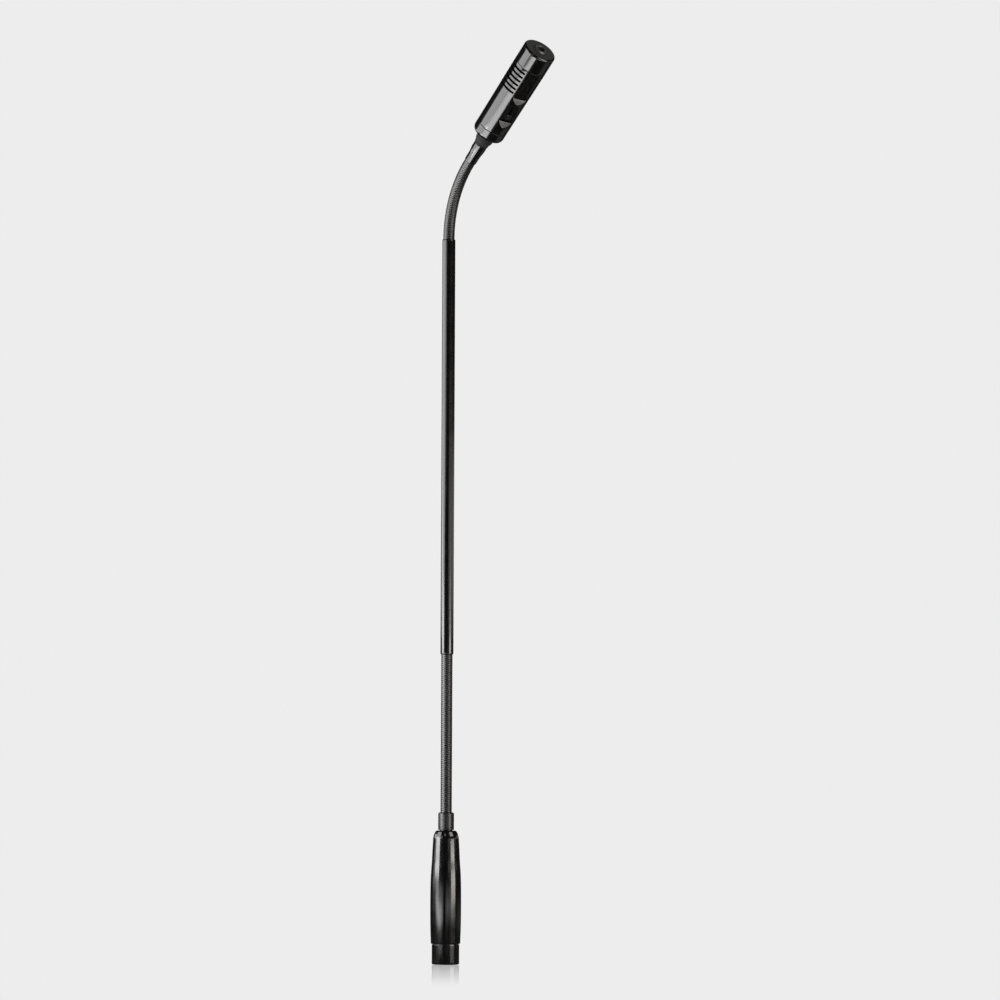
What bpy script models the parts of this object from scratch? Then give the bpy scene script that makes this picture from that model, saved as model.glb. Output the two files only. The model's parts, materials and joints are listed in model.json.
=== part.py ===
"""Gooseneck podium microphone.

An XLR plug in a tapered barrel carries a lower flexible neck, a rigid stem, an upper flexible neck and
a cylindrical head. The head holds the capsule, side slots, a grille window and a polar-pattern switch.

The model is in metres with +Z up. Its origin is the centre of the plug's end face, the stem rises
along +Z, and the upper neck leans the head towards -Y, where the talker sits.
"""

import math

import bmesh
import bpy
from mathutils import Matrix

# Every length below is in millimetres, and METRES turns it into the model's unit.
METRES = 0.001
GAP = 0.3  # left between neighbouring pieces

# Plug: heights are above the plug's end face
SHELL_RADIUS = 9.5
SHELL_HEIGHT = 13.8
SHELL_BORE = 8.1
SHELL_CHAMFER = 0.6
SLEEVE_RADIUS = 8.6  # the part of the shell that is pressed into the barrel
SLEEVE_TOP = 24.0
INSERT_RADIUS = 7.8
INSERT_BOTTOM = 12.0
INSERT_TOP = 22.0
PIN_RADIUS = 1.2
PIN_CIRCLE = 4.0
PIN_ANGLES = (15.0, 165.0, 270.0)
PIN_TIP = 1.4
PIN_END = 26.0
LOCK_SCREW_HEIGHT = 19.0
LOCK_SCREW_RADIUS = 1.25

# Barrel
BARREL_BOTTOM = SHELL_HEIGHT + GAP
BARREL_TOP = 92.2
BARREL_BORE = 7.9
BARREL_BORE_TOP = 81.0
BARREL_OUTLINE = (  # outer radius and height, from the shoulder over the plug up to the ferrule
    (9.7, BARREL_BOTTOM),
    (10.15, BARREL_BOTTOM + 0.5),
    (10.36, 19.3),
    (10.58, 27.0),
    (10.68, 36.0),
    (10.68, 46.0),
    (10.55, 56.0),
    (10.25, 63.5),
    (9.72, 71.0),
    (9.38, 78.0),
    (9.0, 85.0),
    (8.8, 87.4),
    (8.3, 89.4),
    (7.5, 91.3),
    (6.4, BARREL_TOP),
)
SPIGOT_RADIUS = 4.2
SPIGOT_BOTTOM = 74.5
NUT_BOTTOM = 77.2
NUT_HEIGHT = 3.5
NUT_FLATS = 12.0
FERRULE_RADIUS = 5.45
FERRULE_TOP = 104.6
FERRULE_SOCKET = 96.0
HOSE_SOCKET_RADIUS = 4.2

# Preamplifier board in the barrel
BOARD_WIDTH = 12.4
BOARD_THICKNESS = 1.6
BOARD_BOTTOM = 28.0
BOARD_TOP = 68.0
CAN_RADIUS = 2.5
CAN_LENGTH = 8.0
CAN_HEIGHTS = (33.0, 45.0)
GROMMET_BOTTOM = 72.0
GROMMET_TOP = 74.2
CABLE_RADIUS = 1.1

# Flexible necks: each is a row of short hollow links with hinges between them, turning in turn about
# the side-to-side axis and about the front-to-back one
NECK_RADIUS = 3.9
NECK_BORE = 1.9
CORE_RADIUS = 2.3  # the hose's core, where it runs on into a plug or the head
CORE_BORE = 1.5
HINGES = 8
LINK_SIDES = 16
GROOVE_ANGLE = 12.5  # slope of a link's end faces, half of the most that two links tilt
GROOVE_CLEARANCE = 0.15
LOWER_NECK_LENGTH = 108.1
UPPER_NECK_RADIUS = 79.3  # of the bend in which the upper neck rests
UPPER_NECK_BEND = 42.0

# Stem
STEM_RADIUS = 4.5
STEM_BORE = 3.95
STEM_LENGTH = 285.5
STEM_CHAMFER = 0.5
STEM_PLUG_RADIUS = 3.65
STEM_PLUG_LENGTH = 12.0
STEM_PLUG_BORE = 2.6
CORE_IN_PLUG = 9.0

# Head: heights are measured along its axis from its base
NECK_END_TO_HEAD = 24.8
HEAD_TURN = -18.0  # how far the head is turned about its own axis on the neck
BOOT_RADIUS_LOW = 4.45
BOOT_RADIUS_HIGH = 3.85
COLLAR_LENGTH = 8.6
COLLAR_RADIUS = 6.25
COLLAR_BELL = 5.0
COLLAR_RADIUS_LOW = 4.5
COLLAR_SPIGOT = 3.0
CORE_PASSAGE = 2.6  # radius of the way that the core takes through boot, collar and head base
HEAD_RADIUS_LOW = 11.3
HEAD_RADIUS_HIGH = 11.75
HEAD_BORE = 9.7
BASE_CAP_TOP = 8.0
BASE_CAP_ROUNDING = 2.3
BASE_CAP_FLOOR = 4.2
CAP_SLEEVE_RADIUS = 9.4
CAP_SLEEVE_BORE = 8.6
CAP_SLEEVE_LENGTH = 3.0
HEAD_NUT_FLATS = 8.0
HEAD_NUT_HEIGHT = 2.5
HOUSING_BOTTOM = BASE_CAP_TOP + GAP
HOUSING_TOP = 62.7
SLOTS = 6
SLOT_FIRST = 42.8
SLOT_PITCH = 3.36
SLOT_HEIGHT = 1.4
SLOT_CHORD = 6.6  # a slot is milled straight across, from this far off the axis outwards
OPENING_HALF_WIDTH = 5.2
RAMP_LIP_RADIUS = 10.2
WINDOW_RAMP_LOW = 34.7
WINDOW_LOW = 39.5
WINDOW_HIGH = 62.0
POCKET_RAMP_LOW = 15.0
POCKET_LOW = 19.4
POCKET_HIGH = 33.9
WINDOW_GRILLE_OUTER = 10.25
WINDOW_GRILLE_INNER = 9.75
LINER_OUTER = 9.4
LINER_INNER = 8.9
LINER_LOW = 38.0
LINER_HIGH = 60.8
FRONT_CAP_LOW = 63.0
FRONT_CAP_TOP = 76.0
FRONT_CAP_ROUNDING = 1.2
FRONT_PLATE = 1.4
FRONT_CAP_BORE = 9.9
PORT_RADIUS = 2.8
PORT_SPIGOT_RADIUS = 3.7
PORT_RING_RADIUS = 5.1
PORT_RING_TOP = 77.2
GRILLE_RADIUS = 9.5
GRILLE_LOW = 72.7
GRILLE_THICKNESS = 0.6
FOAM_RADIUS = 8.3
FOAM_LOW = 62.0
CAPSULE_RADIUS = 7.0
CAPSULE_LOW = 50.0
CAPSULE_HIGH = 59.5
CAPSULE_WALL = 0.6
CAPSULE_MOUTH = 4.5
DISC_RADIUS = 6.1
RING_OUTER = 8.6
RING_HEIGHTS = (51.0, 57.0)
RING_THICKNESS = 1.5

# Polar-pattern switch, behind the pocket in the head
SWITCH_HALF_WIDTH = 4.2
SWITCH_FACE = 9.2  # distance of its face from the head's axis
SWITCH_BACK = 5.6
SWITCH_LOW = 19.8
SWITCH_HIGH = 33.6
SWITCH_SLOT_HALF_WIDTH = 0.9
SWITCH_SLOT_DEPTH = 2.0
SLIDER_LENGTH = 3.6
SLIDER_TRAVEL = 6.0
SLIDER_LOW = 21.9
SLIDER_HALF_WIDTH = 2.0
SLIDER_STEM_HALF_WIDTH = 0.6
SLIDER_TOP = 10.9
HEAD_BOARD_HALF_WIDTH = 6.0
HEAD_BOARD_FACE = 5.3
HEAD_BOARD_THICKNESS = 1.2
HEAD_BOARD_LOW = 12.0
HEAD_BOARD_HIGH = 46.0

# Name: base colour, roughness, metallic
FINISHES = {
    "satin_black_metal": ((0.018, 0.017, 0.016), 0.34, 0.6),
    "black_hose": ((0.015, 0.014, 0.013), 0.42, 0.5),
    "black_rubber": ((0.03, 0.03, 0.03), 0.75, 0.0),
    "black_plastic": ((0.012, 0.012, 0.012), 0.5, 0.0),
    "nickel": ((0.62, 0.6, 0.56), 0.25, 1.0),
    "dark_mesh": ((0.02, 0.02, 0.02), 0.6, 0.7),
    "foam": ((0.03, 0.03, 0.03), 0.95, 0.0),
    "green_board": ((0.02, 0.12, 0.05), 0.5, 0.0),
    "component_blue": ((0.04, 0.07, 0.22), 0.4, 0.0),
    "component_ochre": ((0.45, 0.22, 0.05), 0.5, 0.0),
    "gold_film": ((0.8, 0.58, 0.25), 0.3, 1.0),
    "grey_cable": ((0.12, 0.12, 0.12), 0.6, 0.0),
}


def clear_scene():
    for thing in list(bpy.data.objects):
        bpy.data.objects.remove(thing, do_unlink=True)


def finish_of(node, finish):
    """A material of the node's own with the named finish."""
    colour, roughness, metallic = FINISHES[finish]
    material = bpy.data.materials.new(f"{node}_{finish}")
    material.use_nodes = True
    shader = material.node_tree.nodes["Principled BSDF"]
    shader.inputs["Base Color"].default_value = (*colour, 1.0)
    shader.inputs["Roughness"].default_value = roughness
    shader.inputs["Metallic"].default_value = metallic
    return material


def frame(name, parent, height, tilt=0.0, turn=0.0):
    """An empty on its parent's axis, tilted about X and turned about Z, in degrees."""
    empty = bpy.data.objects.new(name, None)
    empty.empty_display_size = 5 * METRES
    empty.parent = parent
    empty.location = (0, 0, height * METRES)
    empty.rotation_euler = (math.radians(tilt), 0, math.radians(turn))
    bpy.context.collection.objects.link(empty)
    return empty


def add_mesh(name, bm, parent):
    """An object from a mesh in millimetres, placed in its parent's frame."""
    bmesh.ops.scale(bm, vec=(METRES, METRES, METRES), verts=bm.verts)
    bmesh.ops.recalc_face_normals(bm, faces=bm.faces)
    mesh = bpy.data.meshes.new(name)
    bm.to_mesh(mesh)
    bm.free()
    thing = bpy.data.objects.new(name, mesh)
    thing.parent = parent
    bpy.context.collection.objects.link(thing)
    return thing


def add_piece(name, bm, finish, parent, smooth=True):
    """A sub-part with its own material, smooth except at its sharp edges."""
    thing = add_mesh(name, bm, parent)
    thing.data.materials.append(finish_of(name, finish))
    if smooth:
        thing.data.shade_smooth()
        thing.data.set_sharp_from_angle(angle=math.radians(35))
    return thing


def cut(target, name, bm):
    """Cuts a closed shape, given in the target's own frame, out of the target."""
    cutter = add_mesh(name, bm, target.parent)
    cutter.hide_render = True
    cutter.display_type = "WIRE"
    modifier = target.modifiers.new(name, "BOOLEAN")
    modifier.operation = "DIFFERENCE"
    modifier.solver = "EXACT"
    modifier.object = cutter


def spin(bm, outline, sides, closed):
    """Turns an outline of (radius, height) points about Z. A closed one has a bore, an open one starts
    and ends on the axis."""
    rings = []
    for radius, height in outline:
        if radius == 0:
            rings.append([bm.verts.new((0, 0, height))] * sides)
            continue
        ring = []
        for side in range(sides):
            angle = 2 * math.pi * side / sides
            ring.append(bm.verts.new((radius * math.cos(angle), radius * math.sin(angle), height)))
        rings.append(ring)
    pairs = list(zip(rings, rings[1:]))
    if closed:
        pairs.append((rings[-1], rings[0]))
    for low, high in pairs:
        for side in range(sides):
            after = (side + 1) % sides
            corners = dict.fromkeys((low[side], low[after], high[after], high[side]))
            bm.faces.new(list(corners))


def turned(name, outline, sides, finish, parent):
    """A turned piece. An outline that starts on the axis is solid in the middle, any other has a bore."""
    bm = bmesh.new()
    spin(bm, outline, sides, closed=outline[0][0] > 0)
    return add_piece(name, bm, finish, parent)


def rod_outline(radius, low, high):
    return [(0, low), (radius, low), (radius, high), (0, high)]


def tube_outline(bore, radius, low, high):
    return [(bore, low), (radius, low), (radius, high), (bore, high)]


def rounded_corner(radius, height, rounding, upwards, steps=3):
    """Points round the outer edge of a turned piece, whose corner would be at (radius, height)."""
    direction = 1 if upwards else -1
    points = []
    for step in range(steps + 1):
        angle = math.pi / 2 * step / steps
        across = radius - rounding * (1 - math.cos(angle))
        along = height - direction * rounding * (1 - math.sin(angle))
        points.append((across, along))
    return points if upwards else points[::-1]


def add_box(bm, low, high):
    """A closed box between two corners."""
    size = [b - a for a, b in zip(low, high)]
    middle = [(a + b) / 2 for a, b in zip(low, high)]
    bmesh.ops.create_cube(bm, matrix=Matrix.Translation(middle) @ Matrix.Diagonal((*size, 1)))


def add_rod(bm, radius, start, length, sides, axis="Z"):
    """A closed rod that starts at a point and runs along Z or Y."""
    turn = Matrix.Rotation(math.radians(-90), 4, "X") if axis == "Y" else Matrix.Identity(4)
    bmesh.ops.create_cone(
        bm,
        cap_ends=True,
        segments=sides,
        radius1=radius,
        radius2=radius,
        depth=length,
        matrix=Matrix.Translation(start) @ turn @ Matrix.Translation((0, 0, length / 2)),
    )


def add_prism(bm, outline, low, high):
    """Extrudes an outline of (y, z) points along X."""
    ends = []
    for x in (low, high):
        ends.append([bm.verts.new((x, y, z)) for y, z in outline])
    bm.faces.new(ends[0])
    bm.faces.new(ends[1][::-1])
    for number in range(len(outline)):
        after = (number + 1) % len(outline)
        bm.faces.new((ends[0][number], ends[1][number], ends[1][after], ends[0][after]))


def box(name, low, high, finish, parent):
    bm = bmesh.new()
    add_box(bm, low, high)
    return add_piece(name, bm, finish, parent, smooth=False)


def rod(name, radius, low, high, sides, finish, parent):
    return turned(name, rod_outline(radius, low, high), sides, finish, parent)


def tube(name, bore, radius, low, high, sides, finish, parent):
    return turned(name, tube_outline(bore, radius, low, high), sides, finish, parent)


def hex_nut(name, bore, flats, low, height, finish, parent):
    """A hexagonal nut with a round bore."""
    bm = bmesh.new()
    add_rod(bm, flats / math.sqrt(3), (0, 0, low), height, 6)
    nut = add_piece(name, bm, finish, parent, smooth=False)
    hole = bmesh.new()
    add_rod(hole, bore, (0, 0, low - 1), height + 2, 24)
    cut(nut, f"{name}_bore", hole)
    return nut


def pin_places():
    for angle in PIN_ANGLES:
        turn = math.radians(angle)
        yield PIN_CIRCLE * math.cos(turn), PIN_CIRCLE * math.sin(turn)


def lock_screw_hole(target):
    """Drills the lock screw's way through a wall on the +Y side."""
    hole = bmesh.new()
    start = (0, INSERT_RADIUS / 2, LOCK_SCREW_HEIGHT)
    add_rod(hole, LOCK_SCREW_RADIUS + GAP, start, SHELL_RADIUS, 16, axis="Y")
    cut(target, f"{target.name}_screw_hole", hole)


def plug_shell(base):
    """The plug's metal nose with the sleeve that is pressed into the barrel."""
    outline = [
        (SHELL_BORE, 0),
        (SHELL_RADIUS - SHELL_CHAMFER, 0),
        (SHELL_RADIUS, SHELL_CHAMFER),
        (SHELL_RADIUS, SHELL_HEIGHT),
        (SLEEVE_RADIUS, SHELL_HEIGHT),
        (SLEEVE_RADIUS, SLEEVE_TOP),
        (SHELL_BORE, SLEEVE_TOP),
    ]
    shell = turned("xlr_shell", outline, 40, "satin_black_metal", base)
    lock_screw_hole(shell)


def plug_insert(base):
    """The plastic disc that carries the three pins."""
    outline = rod_outline(INSERT_RADIUS, INSERT_BOTTOM, INSERT_TOP)
    insert = turned("xlr_insert", outline, 32, "black_plastic", base)
    holes = bmesh.new()
    for x, y in pin_places():
        add_rod(holes, PIN_RADIUS + GAP, (x, y, INSERT_BOTTOM - 1), INSERT_TOP - INSERT_BOTTOM + 2, 12)
    cut(insert, "xlr_insert_pin_holes", holes)


def plug_pins(base):
    """Three contact pins with rounded tips."""
    outline = [
        (0, PIN_TIP),
        (PIN_RADIUS * 0.6, PIN_TIP),
        (PIN_RADIUS, PIN_TIP + 0.8),
        (PIN_RADIUS, PIN_END),
        (0, PIN_END),
    ]
    for number, (x, y) in enumerate(pin_places(), 1):
        pin = turned(f"xlr_pin_{number}", outline, 12, "nickel", base)
        pin.location = (x * METRES, y * METRES, 0)


def insert_lock_screw(base):
    """The grub screw that locks the insert, reached through the barrel's back."""
    bm = bmesh.new()
    start = INSERT_RADIUS + GAP
    add_rod(bm, LOCK_SCREW_RADIUS, (0, start, LOCK_SCREW_HEIGHT), 1.8, 12, axis="Y")
    add_piece("insert_lock_screw", bm, "nickel", base)


def barrel(base):
    """The tapered barrel, hollow for the board, with a hole on top for the ferrule."""
    outline = [
        *BARREL_OUTLINE,
        (SPIGOT_RADIUS + GAP, BARREL_TOP),
        (SPIGOT_RADIUS + GAP, BARREL_BORE_TOP),
        (BARREL_BORE, BARREL_BORE_TOP),
        (BARREL_BORE, SLEEVE_TOP + GAP),
        (SLEEVE_RADIUS + GAP, SLEEVE_TOP + GAP),
        (SLEEVE_RADIUS + GAP, BARREL_BOTTOM),
    ]
    housing = turned("barrel", outline, 36, "satin_black_metal", base)
    lock_screw_hole(housing)


def preamp_board(base):
    """The circuit board with its coupling capacitors, film capacitor and output transistor."""
    half = BOARD_THICKNESS / 2
    face = half + GAP
    edge = BOARD_WIDTH / 2
    low = (-edge, -half, BOARD_BOTTOM)
    box("preamp_board", low, (edge, half, BOARD_TOP), "green_board", base)
    for number, height in enumerate(CAN_HEIGHTS, 1):
        name = f"coupling_capacitor_{number}"
        can = rod(name, CAN_RADIUS, height, height + CAN_LENGTH, 16, "component_blue", base)
        can.location.y = (face + CAN_RADIUS) * METRES
    box("film_capacitor", (-3, -face - 3, 36), (3, -face, 43), "component_ochre", base)
    box("output_transistor", (-2.2, -face - 3.6, 52), (2.2, -face, 57), "black_plastic", base)


def neck_ferrule(base):
    """The collar on top of the barrel. Its spigot passes into the barrel, and its socket holds the hose."""
    outline = [
        (CABLE_RADIUS + GAP, SPIGOT_BOTTOM),
        (SPIGOT_RADIUS, SPIGOT_BOTTOM),
        (SPIGOT_RADIUS, BARREL_TOP + GAP),
        (FERRULE_RADIUS, BARREL_TOP + GAP),
        (FERRULE_RADIUS, FERRULE_TOP - 0.4),
        (FERRULE_RADIUS - 0.4, FERRULE_TOP),
        (HOSE_SOCKET_RADIUS, FERRULE_TOP),
        (HOSE_SOCKET_RADIUS, FERRULE_SOCKET),
        (CABLE_RADIUS + GAP, FERRULE_SOCKET),
    ]
    turned("neck_ferrule", outline, 28, "satin_black_metal", base)
    bore = SPIGOT_RADIUS + GAP
    hex_nut("ferrule_lock_nut", bore, NUT_FLATS, NUT_BOTTOM, NUT_HEIGHT, "nickel", base)
    way = CABLE_RADIUS + GAP
    tube("cable_grommet", way, 3.0, GROMMET_BOTTOM, GROMMET_TOP, 16, "black_rubber", base)


def groove_depth(radius):
    """How far a link's end face lies from the hinge plane at a radius, so that links can tilt."""
    return radius * math.tan(math.radians(GROOVE_ANGLE)) + GROOVE_CLEARANCE


def neck_link(name, low, high, parent):
    """A hollow link between two hinge planes, with conical ends."""
    outline = [
        (NECK_BORE, low + groove_depth(NECK_BORE)),
        (NECK_RADIUS, low + groove_depth(NECK_RADIUS)),
        (NECK_RADIUS, high - groove_depth(NECK_RADIUS)),
        (NECK_BORE, high - groove_depth(NECK_BORE)),
    ]
    turned(name, outline, LINK_SIDES, "black_hose", parent)


def neck_start(name, low, face, hinge, parent):
    """The first stretch of a neck. It is held from low up to face, and ends at the first hinge plane."""
    outline = [
        (CORE_BORE, low),
        (face[0], low),
        (face[0], face[1]),
        (NECK_RADIUS, face[1]),
        (NECK_RADIUS, hinge - groove_depth(NECK_RADIUS)),
        (CORE_BORE, hinge - groove_depth(CORE_BORE)),
    ]
    if face[0] == NECK_RADIUS:
        del outline[2:4]
    turned(name, outline, LINK_SIDES, "black_hose", parent)


def neck_tip(name, shoulder, end, parent):
    """The last stretch of a neck, from the last hinge at 0 to its shoulder, then its core up to end."""
    outline = [
        (CORE_BORE, groove_depth(CORE_BORE)),
        (NECK_RADIUS, groove_depth(NECK_RADIUS)),
        (NECK_RADIUS, shoulder),
        (CORE_RADIUS, shoulder),
        (CORE_RADIUS, end),
        (CORE_BORE, end),
    ]
    turned(name, outline, LINK_SIDES, "black_hose", parent)


def neck_frames(prefix, last, parent, first, pitch, tilt):
    """The frames of a neck's bodies, each at the hinge that it turns on. The last one is what the neck
    carries."""
    frames = []
    for number in range(1, HINGES + 1):
        name = last if number == HINGES else f"{prefix}_{number}"
        parent = frame(name, parent, first if number == 1 else pitch, tilt)
        frames.append(parent)
    return frames


def lower_neck(base):
    """The straight neck between the barrel and the stem. Returns the stem's frame."""
    pitch = LOWER_NECK_LENGTH / HINGES
    start = FERRULE_TOP + GAP
    first_hinge = start + pitch / 2
    frames = neck_frames("lower_neck", "stem_frame", base, first_hinge, pitch, 0)
    held = FERRULE_SOCKET + GAP
    neck_start("lower_flex_base", held, (NECK_RADIUS, start), first_hinge, base)
    for number, body in enumerate(frames[:-1], 1):
        neck_link(f"lower_flex_link_{number}", 0, pitch, body)
    neck_tip("lower_flex_tip", pitch / 2, pitch / 2 + GAP + CORE_IN_PLUG, frames[-1])
    return frames[-1]


def stem(body):
    """The rigid tube with a crimped plug in each end and the cable through it. Returns the height of its
    upper end in the stem's frame."""
    low = LOWER_NECK_LENGTH / HINGES / 2 + GAP
    high = low + STEM_LENGTH
    outline = [
        (STEM_BORE, low),
        (STEM_RADIUS - STEM_CHAMFER, low),
        (STEM_RADIUS, low + STEM_CHAMFER),
        (STEM_RADIUS, high - STEM_CHAMFER),
        (STEM_RADIUS - STEM_CHAMFER, high),
        (STEM_BORE, high),
    ]
    turned("stem_tube", outline, 28, "satin_black_metal", body)
    lower_plug = low + GAP
    upper_plug = high - GAP - STEM_PLUG_LENGTH
    for name, start in (("stem_plug_lower", lower_plug), ("stem_plug_upper", upper_plug)):
        end = start + STEM_PLUG_LENGTH
        tube(name, STEM_PLUG_BORE, STEM_PLUG_RADIUS, start, end, 20, "nickel", body)
    rod("stem_cable", CABLE_RADIUS, low, high, 10, "grey_cable", body)
    return high


def upper_neck(body, stem_end):
    """The neck that rests in a bend between the stem and the head. Returns the head's frame and the
    height of the neck's end in it."""
    step = UPPER_NECK_BEND / HINGES
    half_pitch = UPPER_NECK_RADIUS * math.tan(math.radians(step / 2))
    pitch = 2 * half_pitch
    start = stem_end + GAP
    first_hinge = start + half_pitch
    frames = neck_frames("upper_neck", "head_frame", body, first_hinge, pitch, step)
    held = stem_end - CORE_IN_PLUG
    neck_start("upper_flex_base", held, (CORE_RADIUS, start), first_hinge, body)
    for number, link_frame in enumerate(frames[:-1], 1):
        neck_link(f"upper_flex_link_{number}", 0, pitch, link_frame)
    core_end = half_pitch + NECK_END_TO_HEAD + BASE_CAP_FLOOR + GAP + HEAD_NUT_HEIGHT + 0.5
    neck_tip("upper_flex_tip", half_pitch, core_end, frames[-1])
    return frames[-1], half_pitch


def neck_boot(seat):
    """The smooth tapered boot over the end of the hose."""
    low = -NECK_END_TO_HEAD + GAP
    high = -COLLAR_LENGTH - GAP
    outline = [
        (CORE_PASSAGE, low),
        (BOOT_RADIUS_LOW - 0.5, low),
        (BOOT_RADIUS_LOW, low + 0.7),
        (BOOT_RADIUS_HIGH, high),
        (CORE_PASSAGE, high),
    ]
    turned("neck_boot", outline, 24, "satin_black_metal", seat)


def shock_collar(seat):
    """The rubber bell under the head, with a spigot in the head's base."""
    outline = [
        (CORE_PASSAGE, -COLLAR_LENGTH),
        (COLLAR_RADIUS_LOW, -COLLAR_LENGTH),
        (COLLAR_RADIUS - 0.4, -COLLAR_BELL - 0.5),
        (COLLAR_RADIUS, -COLLAR_BELL + 0.3),
        (COLLAR_RADIUS, -GAP),
        (SPIGOT_RADIUS, -GAP),
        (SPIGOT_RADIUS, COLLAR_SPIGOT),
        (CORE_PASSAGE, COLLAR_SPIGOT),
    ]
    turned("shock_collar", outline, 28, "black_rubber", seat)


def head_base_cap(seat):
    """The rounded cap at the neck's end of the head, with a sleeve inside the housing."""
    outline = [
        (SPIGOT_RADIUS + GAP, 0),
        *rounded_corner(HEAD_RADIUS_LOW, 0, BASE_CAP_ROUNDING, upwards=False),
        (HEAD_RADIUS_LOW, BASE_CAP_TOP),
        (CAP_SLEEVE_RADIUS, BASE_CAP_TOP),
        (CAP_SLEEVE_RADIUS, BASE_CAP_TOP + CAP_SLEEVE_LENGTH),
        (CAP_SLEEVE_BORE, BASE_CAP_TOP + CAP_SLEEVE_LENGTH),
        (CAP_SLEEVE_BORE, BASE_CAP_FLOOR),
        (CORE_PASSAGE, BASE_CAP_FLOOR),
        (CORE_PASSAGE, COLLAR_SPIGOT + GAP),
        (SPIGOT_RADIUS + GAP, COLLAR_SPIGOT + GAP),
    ]
    turned("head_base_cap", outline, 40, "satin_black_metal", seat)
    low = BASE_CAP_FLOOR + GAP
    hex_nut("neck_nut", CORE_PASSAGE, HEAD_NUT_FLATS, low, HEAD_NUT_HEIGHT, "nickel", seat)


def recess_outline(ramp_low, low, high):
    """A recess in the head's wall, as (y, z) points: a ramp at its lower end, then a way right through."""
    outside = -HEAD_RADIUS_HIGH - 2
    inside = -HEAD_BORE + 4
    drop = HEAD_RADIUS_HIGH - RAMP_LIP_RADIUS
    slope = drop / (low - ramp_low)
    return [
        (outside, ramp_low - (-outside - HEAD_RADIUS_HIGH) / slope),
        (-RAMP_LIP_RADIUS, low),
        (inside, low),
        (inside, high),
        (outside, high),
    ]


def head_housing(seat):
    """The tubular housing with its side slots, the grille's window and the switch's pocket."""
    outline = [
        (HEAD_BORE, HOUSING_BOTTOM),
        (HEAD_RADIUS_LOW, HOUSING_BOTTOM),
        (HEAD_RADIUS_HIGH, HOUSING_TOP),
        (HEAD_BORE, HOUSING_TOP),
    ]
    housing = turned("head_housing", outline, 48, "satin_black_metal", seat)
    slots = bmesh.new()
    reach = HEAD_RADIUS_HIGH + 1
    for number in range(SLOTS):
        low = SLOT_FIRST + number * SLOT_PITCH - SLOT_HEIGHT / 2
        high = low + SLOT_HEIGHT
        add_box(slots, (SLOT_CHORD, -reach, low), (reach, reach, high))
        add_box(slots, (-reach, -reach, low), (-SLOT_CHORD, reach, high))
    cut(housing, "head_housing_slots", slots)
    recesses = bmesh.new()
    for heights in (
        (WINDOW_RAMP_LOW, WINDOW_LOW, WINDOW_HIGH),
        (POCKET_RAMP_LOW, POCKET_LOW, POCKET_HIGH),
    ):
        add_prism(recesses, recess_outline(*heights), -OPENING_HALF_WIDTH, OPENING_HALF_WIDTH)
    cut(housing, "head_housing_recesses", recesses)


def window_grille(seat):
    """The curved grille panel in the housing's window."""
    steps = 8
    edge = OPENING_HALF_WIDTH - GAP
    reach = math.asin(edge / WINDOW_GRILLE_OUTER)
    low = WINDOW_LOW + GAP
    high = WINDOW_HIGH - GAP
    bm = bmesh.new()
    rings = []
    for radius, height in tube_outline(WINDOW_GRILLE_INNER, WINDOW_GRILLE_OUTER, low, high):
        ring = []
        for step in range(steps + 1):
            angle = reach * (2 * step / steps - 1)
            ring.append(bm.verts.new((radius * math.sin(angle), -radius * math.cos(angle), height)))
        rings.append(ring)
    for number, ring in enumerate(rings):
        after = rings[(number + 1) % len(rings)]
        for step in range(steps):
            bm.faces.new((ring[step], ring[step + 1], after[step + 1], after[step]))
    bm.faces.new([ring[0] for ring in rings])
    bm.faces.new([ring[-1] for ring in rings])
    add_piece("window_grille", bm, "dark_mesh", seat)


def front_cap(seat):
    """The cap at the talker's end with its port ring, grille and foam."""
    outline = [
        (CAP_SLEEVE_BORE, LINER_HIGH + GAP),
        (CAP_SLEEVE_RADIUS, LINER_HIGH + GAP),
        (CAP_SLEEVE_RADIUS, FRONT_CAP_LOW),
        (HEAD_RADIUS_HIGH, FRONT_CAP_LOW),
        *rounded_corner(HEAD_RADIUS_HIGH, FRONT_CAP_TOP, FRONT_CAP_ROUNDING, upwards=True),
        (PORT_SPIGOT_RADIUS + GAP, FRONT_CAP_TOP),
        (PORT_SPIGOT_RADIUS + GAP, FRONT_CAP_TOP - FRONT_PLATE),
        (FRONT_CAP_BORE, FRONT_CAP_TOP - FRONT_PLATE),
        (FRONT_CAP_BORE, FRONT_CAP_LOW + 1.2),
        (CAP_SLEEVE_BORE, FRONT_CAP_LOW + 1.2),
    ]
    turned("front_cap", outline, 40, "satin_black_metal", seat)
    ring = [
        (PORT_RADIUS, GRILLE_LOW + GRILLE_THICKNESS + GAP),
        (PORT_SPIGOT_RADIUS, GRILLE_LOW + GRILLE_THICKNESS + GAP),
        (PORT_SPIGOT_RADIUS, FRONT_CAP_TOP + GAP),
        (PORT_RING_RADIUS, FRONT_CAP_TOP + GAP),
        (PORT_RING_RADIUS - 1.1, PORT_RING_TOP),
        (PORT_RADIUS, PORT_RING_TOP),
    ]
    turned("port_ring", ring, 32, "satin_black_metal", seat)
    top = GRILLE_LOW + GRILLE_THICKNESS
    rod("front_grille", GRILLE_RADIUS, GRILLE_LOW, top, 32, "dark_mesh", seat)
    rod("front_foam", FOAM_RADIUS, FOAM_LOW, GRILLE_LOW - GAP, 24, "foam", seat)


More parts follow.
